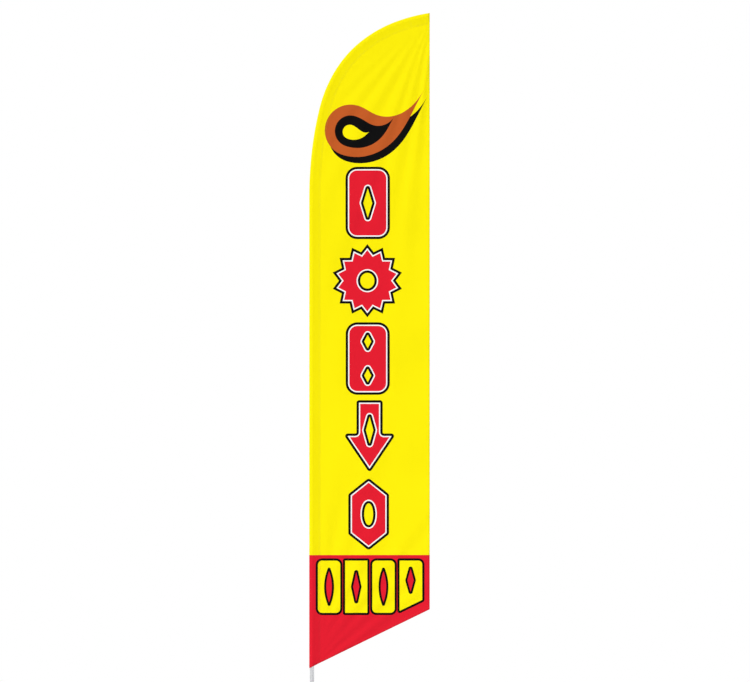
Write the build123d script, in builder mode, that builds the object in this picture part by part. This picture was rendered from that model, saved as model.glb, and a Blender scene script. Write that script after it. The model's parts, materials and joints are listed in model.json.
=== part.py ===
from build123d import *
import math
import os

os.makedirs("parts", exist_ok=True)

# Feather flag with pole, planted in the ground.
# Frame: origin on the spike's axis at ground level, +Z up. The pole rises along Z,
# the flag hangs in the XZ plane on the +X side of the pole.

# ---------------------------------------------------------------- flag outline (mm)
FLAG_W = 644.0          # full width, straight edge to straight edge
EDGE = 15.0             # pole axis to the flag's outer (pole side) edge
RIGHT = FLAG_W - EDGE   # x of the free edge
TIP_Z = 995.0           # lowest corner of the flag, on the pole side
DIAG_RISE = 313.8       # how much higher the bottom edge is at the free edge
CURVE_Z = 3518.3        # where the pole side edge starts to bend over
EDGE_RADII = [2107.1, 1829.2, 697.1, 585.8, 683.6, 922.5]   # outer edge, bottom to tip
TURNS = [7.31, 6.62, 20.78, 16.73, 18.36, 11.43]            # degrees each arc turns
CLOTH_T = 0.8

# ---------------------------------------------------------------- sleeve
SLEEVE_RI = 14.2
SLEEVE_RO = 15.0
SEAM_R = 45.0           # pole axis to the row of stitches

# ---------------------------------------------------------------- pole
LOWER_RO, LOWER_RI = 11.1, 9.8
MIDDLE_RO, MIDDLE_RI = 9.5, 8.3
UPPER_RO, UPPER_RI = 8.0, 6.8
ROD_R = 4.75
FOOT_Z = 76.0
LOWER_TOP = 1180.0
MIDDLE_BOTTOM, MIDDLE_TOP = 1060.0, 2300.0
UPPER_BOTTOM, UPPER_TOP = 2180.0, 3400.0
ROD_START = 3330.0      # distance along the pole
ROD_END = 4776.0
BUTTON_LOWER_Z = 1120.0
BUTTON_UPPER_Z = 2240.0

# ---------------------------------------------------------------- ground spike and rotator
SHANK_R = 8.0
SHANK_BOTTOM = -430.0
POINT_Z = -470.0
NECK_R = 7.0
NECK_TOP = 22.0
PLATE_L, PLATE_W, PLATE_T = 150.0, 45.0, 6.0
SPINDLE_R = 6.0
BEARING_T = 6.0
BEARING_LOW = 30.5      # underside of the lower bearing
BEARING_HIGH = 50.5     # underside of the upper bearing
PITCH_R = 9.0
BALL_R = 1.9
BALLS = 10
HUB_R = 16.0
HUB_BOTTOM = 27.0
HUB_TOP = 72.0
SPIGOT_R = 9.75
SPIGOT_TOP = 200.0
O_RING_Z = [100.0, 170.0]

# ---------------------------------------------------------------- tension collar
COLLAR_Z = 888.0
COLLAR_H = 36.0
COLLAR_R = 17.5
STRAP_Y = 15.1
STRAP_T = 1.6
STRAP_W = 20.0
EYE_Z = 890.3


def diag_z(x):
    """Height of the flag's slanted bottom edge at x."""
    return TIP_Z + DIAG_RISE * (x + EDGE) / FLAG_W


def arcs_at(depth):
    """Arcs of the bent edge, depth mm inside the outer edge: start, heading, radius, turn."""
    x, z, a = -EDGE + depth, CURVE_Z, 90.0
    out = []
    for r_edge, turn in zip(EDGE_RADII, TURNS):
        r = r_edge - depth
        out.append(((x, z), a, r, turn))
        cx = x + r * math.sin(math.radians(a))
        cz = z - r * math.cos(math.radians(a))
        a -= turn
        x = cx - r * math.sin(math.radians(a))
        z = cz + r * math.cos(math.radians(a))
    return out


def station(s):
    """Point and heading of the pole's centre line, s mm from the ground along it."""
    if s <= CURVE_Z:
        return (0.0, s), 90.0
    left = s - CURVE_Z
    for (x, z), a, r, turn in arcs_at(EDGE):
        length = math.radians(turn) * r
        if left <= length + 1e-6:
            b = a - math.degrees(left / r)
            cx = x + r * math.sin(math.radians(a))
            cz = z - r * math.cos(math.radians(a))
            return (cx - r * math.sin(math.radians(b)), cz + r * math.cos(math.radians(b))), b
        left -= length
    raise ValueError("past the end of the pole line")


def stretch(s0, s1):
    """The centre line between two distances: ("line", p, q) and ("arc", p, heading, r, turn)."""
    out = []
    if s0 < CURVE_Z:
        out.append(("line", (0.0, s0), (0.0, min(s1, CURVE_Z))))
    at = CURVE_Z
    for start, a, r, turn in arcs_at(EDGE):
        length = math.radians(turn) * r
        lo, hi = max(s0, at), min(s1, at + length)
        if hi - lo > 0.01:
            p, b = station(lo)
            out.append(("arc", p, b, r, math.degrees((hi - lo) / r)))
        at += length
    return out


def section_plane(s):
    """Plane across the pole at distance s, local x towards the flag."""
    (x, z), a = station(s)
    ar = math.radians(a)
    return Plane(
        origin=(x, 0, z),
        x_dir=(math.sin(ar), 0, -math.cos(ar)),
        z_dir=(math.cos(ar), 0, math.sin(ar)),
    )


def draw_stretch(s0, s1):
    """Draws the centre line between two distances in the current BuildLine on Plane.XZ."""
    for item in stretch(s0, s1):
        if item[0] == "line":
            Line(item[1], item[2])
        else:
            _, p, a, r, turn = item
            JernArc(
                start=p,
                tangent=(math.cos(math.radians(a)), math.sin(math.radians(a))),
                radius=r,
                arc_size=-turn,
            )


def save(builder, name):
    builder.part.label = name
    export_step(builder.part, f"parts/{name}.step")


# ================================================================ ground spike
with BuildPart() as ground_spike:
    with BuildSketch(Plane.XZ):
        with BuildLine():
            Polyline(
                (0, POINT_Z), (1.2, POINT_Z), (SHANK_R, SHANK_BOTTOM), (SHANK_R, 0),
                (NECK_R, 0), (NECK_R, NECK_TOP), (4.5, NECK_TOP), (4.5, 3), (0, 3),
                close=True,
            )
        make_face()
    revolve(axis=Axis.Z)
save(ground_spike, "ground_spike")

with BuildPart() as step_plate:
    with BuildSketch(Plane.XY):
        RectangleRounded(PLATE_L, PLATE_W, 10)
        Circle(NECK_R + 0.05, mode=Mode.SUBTRACT)
    extrude(amount=PLATE_T)
    chamfer(step_plate.faces().sort_by(Axis.Z)[-1].outer_wire().edges(), 1.2)
    # raised grip bars pressed into the two foot areas
    with BuildSketch(Plane.XY.offset(PLATE_T)):
        with Locations((-60, 0), (-50, 0), (50, 0), (60, 0)):
            SlotOverall(30, 4, rotation=90)
    extrude(amount=1.2)
save(step_plate, "step_plate")

with BuildPart() as step_gussets:
    with BuildSketch(Plane.XZ):
        with BuildLine():
            Polyline(
                (NECK_R + 0.05, PLATE_T), (42, PLATE_T), (42, PLATE_T + 3),
                (NECK_R + 4, NECK_TOP - 3), (NECK_R + 0.05, NECK_TOP - 3), close=True,
            )
        make_face()
    extrude(amount=2.5, both=True)
    mirror(about=Plane.YZ)
save(step_gussets, "step_gussets")

with BuildPart() as spindle:
    with BuildSketch(Plane.XZ):
        with BuildLine():
            Polyline(
                (0, 4), (4.45, 4), (4.45, NECK_TOP), (8, NECK_TOP), (8, NECK_TOP + 3),
                (7.4, NECK_TOP + 3), (7.4, BEARING_LOW), (SPINDLE_R, BEARING_LOW),
                (SPINDLE_R, 56.7), (5.4, 56.7), (5.4, 57.9), (SPINDLE_R, 57.9),
                (SPINDLE_R, 60), (5, 61), (0, 61), close=True,
            )
        make_face()
    revolve(axis=Axis.Z)
save(spindle, "spindle")

with BuildPart() as bearing_inner_rings:
    for low in (BEARING_LOW, BEARING_HIGH):
        with BuildSketch(Plane.XZ):
            with Locations((6.96, low + BEARING_T / 2)):
                Rectangle(1.88, BEARING_T)
            with Locations((PITCH_R, low + BEARING_T / 2)):
                Circle(BALL_R + 0.1, mode=Mode.SUBTRACT)
        revolve(axis=Axis.Z)
save(bearing_inner_rings, "bearing_inner_rings")

with BuildPart() as bearing_spacer:
    with BuildSketch(Plane.XY.offset(BEARING_LOW + BEARING_T + 0.05)):
        Circle(7.4)
        Circle(SPINDLE_R + 0.05, mode=Mode.SUBTRACT)
    extrude(amount=BEARING_HIGH - BEARING_LOW - BEARING_T - 0.1)
save(bearing_spacer, "bearing_spacer")

with BuildPart() as spindle_circlip:
    with BuildSketch(Plane.XY.offset(56.75)):
        Circle(8.0)
        Circle(5.5, mode=Mode.SUBTRACT)
        with Locations((6.5, 0)):
            Rectangle(5, 4.4, mode=Mode.SUBTRACT)
    extrude(amount=1.1)
save(spindle_circlip, "spindle_circlip")

# ================================================================ rotator
with BuildPart() as rotator_hub:
    with BuildSketch(Plane.XZ):
        with BuildLine():
            Polyline(
                (12.02, HUB_BOTTOM), (HUB_R - 1, HUB_BOTTOM), (HUB_R, HUB_BOTTOM + 1),
                (HUB_R, 64), (13.6, 70), (13.6, HUB_TOP), (SPIGOT_R, HUB_TOP),
                (SPIGOT_R, O_RING_Z[0]), (8.3, O_RING_Z[0]), (8.3, O_RING_Z[0] + 1.8),
                (SPIGOT_R, O_RING_Z[0] + 1.8), (SPIGOT_R, O_RING_Z[1]), (8.3, O_RING_Z[1]),
                (8.3, O_RING_Z[1] + 1.8), (SPIGOT_R, O_RING_Z[1] + 1.8),
                (SPIGOT_R, SPIGOT_TOP - 1.5), (SPIGOT_R - 1.5, SPIGOT_TOP), (6, SPIGOT_TOP),
                (6, 66), (10, 63), (10, 56.6), (12.02, 56.6), (12.02, 30.35),
                (12.9, 30.35), (12.9, 29), (12.02, 29), close=True,
            )
        make_face()
    revolve(axis=Axis.Z)
    # turned grip grooves round the hub's body
    with BuildSketch(Plane.XZ):
        with Locations((HUB_R + 0.2, 38), (HUB_R + 0.2, 43), (HUB_R + 0.2, 48)):
            Circle(1.0)
    revolve(axis=Axis.Z, mode=Mode.SUBTRACT)
save(rotator_hub, "rotator_hub")

with BuildPart() as hub_circlip:
    with BuildSketch(Plane.XY.offset(29.1)):
        Circle(12.8)
        Circle(10.4, mode=Mode.SUBTRACT)
        with Locations((11.5, 0)):
            Rectangle(5, 5.0, mode=Mode.SUBTRACT)
    extrude(amount=1.1)
save(hub_circlip, "hub_circlip")

with BuildPart() as bearing_outer_rings:
    for low in (BEARING_LOW, BEARING_HIGH):
        with BuildSketch(Plane.XZ):
            with Locations((11.05, low + BEARING_T / 2)):
                Rectangle(1.9, BEARING_T)
            with Locations((PITCH_R, low + BEARING_T / 2)):
                Circle(BALL_R + 0.1, mode=Mode.SUBTRACT)
        revolve(axis=Axis.Z)
save(bearing_outer_rings, "bearing_outer_rings")

with BuildPart() as bearing_balls:
    for low in (BEARING_LOW, BEARING_HIGH):
        with Locations((0, 0, low + BEARING_T / 2)):
            with PolarLocations(PITCH_R, BALLS):
                Sphere(BALL_R)
save(bearing_balls, "bearing_balls")

with BuildPart() as bearing_shields:
    for low in (BEARING_LOW, BEARING_HIGH):
        mid = low + BEARING_T / 2
        for z in (mid - 2.65, mid + 2.25):
            with BuildSketch(Plane.XY.offset(z)):
                Circle(10.05)
                Circle(8.15, mode=Mode.SUBTRACT)
            extrude(amount=0.4)
save(bearing_shields, "bearing_shields")

with BuildPart() as hub_spacer:
    with BuildSketch(Plane.XY.offset(BEARING_LOW + BEARING_T + 0.05)):
        Circle(11.95)
        Circle(10.6, mode=Mode.SUBTRACT)
    extrude(amount=BEARING_HIGH - BEARING_LOW - BEARING_T - 0.1)
save(hub_spacer, "hub_spacer")

with BuildPart() as dust_seal:
    with BuildSketch(Plane.XZ):
        with BuildLine():
            Polyline(
                (8.6, HUB_BOTTOM - 0.05), (14.8, HUB_BOTTOM - 0.05), (17.4, 22.6),
                (16.4, 22.4), (13.4, 25.2), (8.6, 25.2), close=True,
            )
        make_face()
    revolve(axis=Axis.Z)
save(dust_seal, "dust_seal")

with BuildPart() as spigot_o_rings:
    for z in O_RING_Z:
        with BuildSketch(Plane.XZ):
            with Locations((8.98, z + 0.9)):
                Circle(0.62)
        revolve(axis=Axis.Z)
save(spigot_o_rings, "spigot_o_rings")

with BuildPart() as spigot_cap:
    with BuildSketch(Plane.XZ):
        with BuildLine():
            Polyline(
                (0, 188), (5.2, 188), (5.95, 189), (5.95, SPIGOT_TOP), (8.2, SPIGOT_TOP),
                (8.2, SPIGOT_TOP + 1.5), (6.5, SPIGOT_TOP + 3), (0, SPIGOT_TOP + 3), close=True,
            )
        make_face()
    revolve(axis=Axis.Z)
save(spigot_cap, "spigot_cap")

# ================================================================ pole
with BuildPart() as pole_foot_ring:
    with BuildSketch(Plane.XZ):
        with BuildLine():
            Polyline(
                (9.95, HUB_TOP + 0.2), (13.0, HUB_TOP + 0.2), (14.2, HUB_TOP + 1.4), (14.2, 95),
                (12.2, 99), (LOWER_RO + 0.05, 99), (LOWER_RO + 0.05, FOOT_Z - 0.05),
                (9.95, FOOT_Z - 0.05), close=True,
            )
        make_face()
    revolve(axis=Axis.Z)
save(pole_foot_ring, "pole_foot_ring")

with BuildPart() as lower_tube:
    with BuildSketch(Plane.XY.offset(FOOT_Z)):
        Circle(LOWER_RO)
        Circle(LOWER_RI, mode=Mode.SUBTRACT)
    extrude(amount=LOWER_TOP - FOOT_Z)
    with BuildSketch(Plane.XZ.offset(-14)):
        with Locations((0, BUTTON_LOWER_Z)):
            Circle(3.65)
    extrude(amount=14, mode=Mode.SUBTRACT)
save(lower_tube, "lower_tube")

with BuildPart() as middle_tube:
    with BuildSketch(Plane.XY.offset(MIDDLE_BOTTOM)):
        Circle(MIDDLE_RO)
        Circle(MIDDLE_RI, mode=Mode.SUBTRACT)
    extrude(amount=MIDDLE_TOP - MIDDLE_BOTTOM)
    with BuildSketch(Plane.XZ.offset(-14)):
        with Locations((0, BUTTON_LOWER_Z)):
            Circle(3.65)
        with Locations((0, BUTTON_UPPER_Z)):
            Circle(3.15)
    extrude(amount=14, mode=Mode.SUBTRACT)
save(middle_tube, "middle_tube")

with BuildPart() as upper_tube:
    with BuildSketch(Plane.XY.offset(UPPER_BOTTOM)):
        Circle(UPPER_RO)
        Circle(UPPER_RI, mode=Mode.SUBTRACT)
    extrude(amount=UPPER_TOP - UPPER_BOTTOM)
    with BuildSketch(Plane.XZ.offset(-14)):
        with Locations((0, BUTTON_UPPER_Z)):
            Circle(3.15)
    extrude(amount=14, mode=Mode.SUBTRACT)
save(upper_tube, "upper_tube")

# plastic bushes on the mouths of the two lower tubes, round the tube that plugs in
with BuildPart() as tube_end_bushes:
    for top, outer, inner in (
        (LOWER_TOP, LOWER_RO, MIDDLE_RO),
        (MIDDLE_TOP, MIDDLE_RO, UPPER_RO),
    ):
        with BuildSketch(Plane.XZ):
            with BuildLine():
                Polyline(
                    (outer + 0.05, top - 14), (outer + 1.4, top - 14), (outer + 1.4, top + 2),
                    (outer, top + 4), (inner + 0.05, top + 4), (inner + 0.05, top + 0.05),
                    (outer + 0.05, top + 0.05), close=True,
                )
            make_face()
        revolve(axis=Axis.Z)
save(tube_end_bushes, "tube_end_bushes")


def leaf_spring(z, reach, back, half_width):
    """Folded strip inside a tube: one leg under the button, the other against the far wall."""
    with BuildPart() as spring:
        with BuildSketch(Plane.YZ):
            with BuildLine():
                mid = (reach + back) / 2
                FilletPolyline(
                    (reach, z + 7), (reach, z - 7), (mid + 1.3, z - 34), (mid - 1.3, z - 34),
                    (back, z - 7), (back, z + 9), radius=1.0,
                )
            trace(line_width=0.6)
        extrude(amount=half_width, both=True)
    return spring


lower_button_spring = leaf_spring(BUTTON_LOWER_Z, 4.9, -6.6, 4.0)
save(lower_button_spring, "lower_button_spring")
upper_button_spring = leaf_spring(BUTTON_UPPER_Z, 3.3, -5.0, 3.4)
save(upper_button_spring, "upper_button_spring")


def snap_button(z, base, flange_r, shank_r, tip):
    """Steel button: flange inside the inner tube, shank through both walls, rounded end."""
    with BuildPart() as button:
        with BuildSketch(Plane.YZ):
            with BuildLine():
                Polyline(
                    (base, z), (base, z + flange_r), (base + 1, z + flange_r),
                    (base + 1, z + shank_r), (tip - 1.5, z + shank_r),
                    (tip - 0.9, z + shank_r * 0.88), (tip - 0.35, z + shank_r * 0.62),
                    (tip, z + shank_r * 0.25), (tip, z), close=True,
                )
            make_face()
        revolve(axis=Axis((0, 0, z), (0, 1, 0)))
    return button


lower_snap_button = snap_button(BUTTON_LOWER_Z, 5.3, 4.6, 3.5, 13.4)
save(lower_snap_button, "lower_snap_button")
upper_snap_button = snap_button(BUTTON_UPPER_Z, 3.7, 4.0, 3.0, 11.6)
save(upper_snap_button, "upper_snap_button")

with BuildPart() as whip_ferrule:
    with BuildSketch(Plane.XZ):
        with BuildLine():
            Polyline(
                (0, 3310), (6.2, 3310), (6.7, 3311), (6.7, UPPER_TOP), (8.6, UPPER_TOP),
                (8.6, UPPER_TOP + 30), (6.4, UPPER_TOP + 42), (ROD_R + 0.05, UPPER_TOP + 42),
                (ROD_R + 0.05, ROD_START), (0, ROD_START), close=True,
            )
        make_face()
    revolve(axis=Axis.Z)
save(whip_ferrule, "whip_ferrule")

with BuildPart() as whip_rod:
    with BuildLine(Plane.XZ) as rod_line:
        draw_stretch(ROD_START + 0.1, ROD_END)
    with BuildSketch(section_plane(ROD_START + 0.1)):
        Circle(ROD_R)
    sweep(path=rod_line.line)
save(whip_rod, "whip_rod")

with BuildPart() as tip_cap:
    with BuildSketch(section_plane(ROD_END).offset(-21)) as cap_body:
        Circle(8.2)
    extrude(amount=22)
    with BuildSketch(section_plane(ROD_END).offset(1)):
        Circle(8.2)
    extrude(amount=7, taper=35)
    with BuildSketch(section_plane(ROD_END).offset(-21)):
        Circle(5.25)
    extrude(amount=21.5, mode=Mode.SUBTRACT)
    fillet(tip_cap.edges().filter_by(GeomType.CIRCLE).sort_by(SortBy.RADIUS)[-1], 0.8)
save(tip_cap, "tip_cap")

# ---------------------------------------------------------------- tension collar and hook
with BuildPart() as tension_collar:
    with BuildSketch(Plane.XY.offset(COLLAR_Z - COLLAR_H / 2)):
        Circle(COLLAR_R)
    extrude(amount=COLLAR_H)
    chamfer(tension_collar.edges().filter_by(GeomType.CIRCLE), 1.5)
    with BuildSketch(Plane.YZ.offset(10)):
        with Locations((0, COLLAR_Z)):
            Circle(9)
    extrude(amount=14)
    with BuildSketch(Plane.XY.offset(COLLAR_Z - COLLAR_H / 2)):
        with Locations((0, 14.3 + 10)):
            Rectangle(60, 20)
    extrude(amount=COLLAR_H, mode=Mode.SUBTRACT)
    with BuildSketch(Plane.XY.offset(COLLAR_Z - COLLAR_H / 2)):
        Circle(LOWER_RO + 0.05)
    extrude(amount=COLLAR_H, mode=Mode.SUBTRACT)
    with BuildSketch(Plane.YZ.offset(10)):
        with Locations((0, COLLAR_Z)):
            Circle(3.05)
    extrude(amount=15, mode=Mode.SUBTRACT)
    with BuildSketch(Plane.XZ.offset(-16)):
        with Locations((0, COLLAR_Z)):
            Circle(2.55)
    extrude(amount=5, mode=Mode.SUBTRACT)
save(tension_collar, "tension_collar")

with BuildPart() as tension_hook:
    with BuildLine(Plane.YZ) as hook_line:
        FilletPolyline(
            (LOWER_RO + 0.3, COLLAR_Z), (22.5, COLLAR_Z), (22.5, COLLAR_Z - 15), radius=5
        )
    with BuildSketch(Plane.XZ.offset(-(LOWER_RO + 0.3))):
        with Locations((0, COLLAR_Z)):
            Circle(2.5)
    sweep(path=hook_line.line)
    fillet(tension_hook.faces().sort_by(Axis.Z)[0].edges(), 1.2)
save(tension_hook, "tension_hook")

with BuildPart() as collar_screw:
    with BuildSketch(Plane.YZ.offset(LOWER_RO + 0.15)):
        with Locations((0, COLLAR_Z)):
            Circle(3.0)
    extrude(amount=21)
    chamfer(collar_screw.faces().sort_by(Axis.X)[0].edges(), 0.5)
save(collar_screw, "collar_screw")

with BuildPart() as collar_knob:
    with BuildSketch(Plane.YZ.offset(25)):
        with Locations((0, COLLAR_Z)):
            Circle(7)
    extrude(amount=3)
    with BuildSketch(Plane.YZ.offset(28)):
        with Locations((0, COLLAR_Z)):
            Circle(12)
            with PolarLocations(14.2, 6):
                Circle(4.4, mode=Mode.SUBTRACT)
    extrude(amount=10)
    fillet(
        collar_knob.faces().filter_by(Axis.X).sort_by(Axis.X)[-1].edges(), 1.2
    )
    with BuildSketch(Plane.YZ.offset(25)):
        with Locations((0, COLLAR_Z)):
            Circle(3.0)
    extrude(amount=7.3, mode=Mode.SUBTRACT)
save(collar_knob, "collar_knob")

# ================================================================ flag
with BuildPart() as pole_sleeve:
    with BuildLine(Plane.XZ) as sleeve_line:
        draw_stretch(TIP_Z - 20, 4803.0)
    with BuildSketch(section_plane(TIP_Z - 20)):
        Circle(SLEEVE_RO)
        with Locations(((SLEEVE_RO + SEAM_R) / 2 - 0.4, 0)):
            Rectangle(SEAM_R - SLEEVE_RO + 0.8, 1.2)
        Circle(SLEEVE_RI, mode=Mode.SUBTRACT)
    sweep(path=sleeve_line.line)
    # trimmed along the slanted bottom edge and the free edge
    with BuildSketch(Plane.XZ.offset(-40)):
        with BuildLine():
            Polyline(
                (-100, diag_z(-100)), (200, diag_z(200)), (200, 800), (-100, 800), close=True
            )
        make_face()
        with Locations((RIGHT + 50, 4400)):
            Rectangle(100, 400)
    extrude(amount=80, mode=Mode.SUBTRACT)
save(pole_sleeve, "pole_sleeve")

PANEL_DEPTH = EDGE + SEAM_R + 0.1       # panel starts this far inside the outer edge

with BuildPart() as flag_panel:
    with BuildSketch(Plane.XZ.offset(-CLOTH_T / 2)):
        with BuildLine():
            x0 = SEAM_R + 0.1
            Line((x0, diag_z(x0)), (x0, CURVE_Z))
            last = (x0, CURVE_Z)
            for start, a, r, turn in arcs_at(PANEL_DEPTH):
                ar = math.radians(a)
                cx = start[0] + r * math.sin(ar)
                cz = start[1] - r * math.cos(ar)
                end_x = cx - r * math.sin(math.radians(a - turn))
                if end_x > RIGHT:
                    turn = a - math.degrees(math.asin((cx - RIGHT) / r))
                JernArc(
                    start=start, tangent=(math.cos(ar), math.sin(ar)), radius=r, arc_size=-turn
                )
                b = math.radians(a - turn)
                last = (cx - r * math.sin(b), cz + r * math.cos(b))
                if end_x > RIGHT:
                    break
            Line(last, (RIGHT, diag_z(RIGHT)))
            Line((RIGHT, diag_z(RIGHT)), (x0, diag_z(x0)))
        make_face()
    extrude(amount=CLOTH_T)
save(flag_panel, "flag_panel")

# webbing cup inside the end of the sleeve, where the pole's tip pushes
with BuildPart() as tip_pocket:
    with BuildLine(Plane.XZ) as pocket_line:
        draw_stretch(4690.0, 4786.0)
    with BuildSketch(section_plane(4690.0)):
        Circle(13.6)
        Circle(11.6, mode=Mode.SUBTRACT)
    sweep(path=pocket_line.line)
    with BuildSketch(section_plane(4786.0)):
        Circle(13.6)
    extrude(amount=2)
save(tip_pocket, "tip_pocket")

with BuildPart() as tension_strap:
    with BuildSketch(Plane.XZ.offset(-STRAP_Y)):
        with Locations((0, (EYE_Z + 1050) / 2)):
            Rectangle(STRAP_W, 1050 - EYE_Z)
        with Locations((0, EYE_Z)):
            Circle(STRAP_W / 2)
            Circle(6.0, mode=Mode.SUBTRACT)
        with Locations((0, EYE_Z)):
            Circle(6.0, mode=Mode.SUBTRACT)
    extrude(amount=-STRAP_T)
save(tension_strap, "tension_strap")

with BuildPart() as strap_grommet:
    with BuildSketch(Plane.YZ):
        with BuildLine():
            Polyline(
                (STRAP_Y - 0.5, EYE_Z + 5.0), (STRAP_Y + STRAP_T + 0.5, EYE_Z + 5.0),
                (STRAP_Y + STRAP_T + 0.5, EYE_Z + 8.8), (STRAP_Y + STRAP_T + 0.02, EYE_Z + 9.0),
                (STRAP_Y + STRAP_T + 0.02, EYE_Z + 5.9), (STRAP_Y - 0.02, EYE_Z + 5.9),
                (STRAP_Y - 0.02, EYE_Z + 9.0), (STRAP_Y - 0.5, EYE_Z + 8.8), close=True,
            )
        make_face()
    revolve(axis=Axis((0, 0, EYE_Z), (0, 1, 0)))
save(strap_grommet, "strap_grommet")

print("pole line length from ground, mm:", round(sum(math.radians(t) * (r - EDGE) for r, t in zip(EDGE_RADII, TURNS)) + CURVE_Z, 1))
print("flag top, mm:", round(arcs_at(0)[-1][0][1], 1), " sleeve volume", round(pole_sleeve.part.volume, 1))
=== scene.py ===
import json
import math

import bmesh
import bpy
import numpy as np
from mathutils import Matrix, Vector, noise
from mathutils.geometry import delaunay_2d_cdt


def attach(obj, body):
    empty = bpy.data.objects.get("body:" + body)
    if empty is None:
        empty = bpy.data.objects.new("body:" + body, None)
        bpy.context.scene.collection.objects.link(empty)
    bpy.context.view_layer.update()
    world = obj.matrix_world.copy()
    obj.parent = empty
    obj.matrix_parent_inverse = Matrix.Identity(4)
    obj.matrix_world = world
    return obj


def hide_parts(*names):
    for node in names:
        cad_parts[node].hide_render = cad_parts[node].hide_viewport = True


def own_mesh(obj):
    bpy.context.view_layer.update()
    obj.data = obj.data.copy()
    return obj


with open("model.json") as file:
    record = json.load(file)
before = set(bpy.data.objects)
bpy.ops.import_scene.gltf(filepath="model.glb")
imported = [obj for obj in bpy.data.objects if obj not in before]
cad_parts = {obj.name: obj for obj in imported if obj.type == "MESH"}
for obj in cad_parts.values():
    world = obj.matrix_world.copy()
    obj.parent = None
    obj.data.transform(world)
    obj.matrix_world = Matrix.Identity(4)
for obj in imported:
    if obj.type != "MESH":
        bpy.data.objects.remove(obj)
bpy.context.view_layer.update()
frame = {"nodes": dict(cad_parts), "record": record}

scene = bpy.context.scene
MM = 0.001

# ------------------------------------------------------------------ the flag's outline, mm, as in the CAD
FLAG_W = 644.0
EDGE = 15.0
RIGHT = FLAG_W - EDGE
TIP_Z = 995.0
DIAG_RISE = 313.8
CURVE_Z = 3518.3
EDGE_RADII = [2107.1, 1829.2, 697.1, 585.8, 683.6, 922.5]
TURNS = [7.31, 6.62, 20.78, 16.73, 18.36, 11.43]
SEAM = 60.0             # the sleeve's seam, measured in from the outer edge
FOOT_TOP = 1599.5       # the red footer's upper edge
CLOTH_T = 0.45


def diag_z(x):
    return TIP_Z + DIAG_RISE * (x + EDGE) / FLAG_W


def edge_arcs():
    x, z, a = -EDGE, CURVE_Z, math.pi / 2
    out, at = [], CURVE_Z - TIP_Z
    for r, turn in zip(EDGE_RADII, TURNS):
        t = math.radians(turn)
        cx, cz = x + r * math.sin(a), z - r * math.cos(a)
        out.append((cx, cz, r, a, a - t, at))
        a -= t
        x, z = cx - r * math.sin(a), cz + r * math.cos(a)
        at += r * t
    return out, at


ARCS, EDGE_LEN = edge_arcs()


def edge_at(t, depth=0.0):
    """Point depth mm inside the outer edge, t mm along it from the flag's lowest corner, with the heading there."""
    if t <= ARCS[0][5]:
        return -EDGE + depth, TIP_Z + t, math.pi / 2
    for cx, cz, r, a0, a1, at in ARCS:
        if t <= at + r * (a0 - a1) + 1e-6:
            a = a0 - (t - at) / r
            return cx - (r - depth) * math.sin(a), cz + (r - depth) * math.cos(a), a
    cx, cz, r, a0, a1, at = ARCS[-1]
    x, z = cx - (r - depth) * math.sin(a1), cz + (r - depth) * math.cos(a1)
    past = t - EDGE_LEN
    return x + past * math.cos(a1), z + past * math.sin(a1), a1


def locate(x, z):
    """Distance along the outer edge and depth inside it, of a point of the flag."""
    if z <= CURVE_Z:
        return z - TIP_Z, x + EDGE
    best = None
    for cx, cz, r, a0, a1, at in ARCS:
        dx, dz = x - cx, z - cz
        a = math.atan2(-dx, dz)
        if a1 - 1e-4 <= a <= a0 + 1e-4:
            depth = r - math.hypot(dx, dz)
            if best is None or abs(depth) < abs(best[1]):
                best = (at + r * (a0 - a), depth)
    if best is None:
        cx, cz, r, a0, a1, at = ARCS[-1]
        # past the last arc: measured square to its end
        ex, ez = cx - r * math.sin(a1), cz + r * math.cos(a1)
        ux, uz = math.cos(a1), math.sin(a1)
        return EDGE_LEN + (x - ex) * ux + (z - ez) * uz, (x - ex) * uz - (z - ez) * ux
    return best


# ------------------------------------------------------------------ the camera
DIST = 25.0
MM_PER_PX = 5.3511
camera_data = bpy.data.cameras.new("camera")
camera_data.type = "PERSP"
camera_data.sensor_width = 36.0
camera_data.lens = DIST / (MM_PER_PX * MM) * 36.0 / 750.0
camera_data.clip_start = 1.0
camera_data.clip_end = 200.0
camera = bpy.data.objects.new("camera", camera_data)
scene.collection.objects.link(camera)
camera.location = (0.3369, -DIST, 2.7448)
camera.rotation_euler = (math.pi / 2, 0, 0)
scene.camera = camera

# ------------------------------------------------------------------ node helpers


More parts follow.
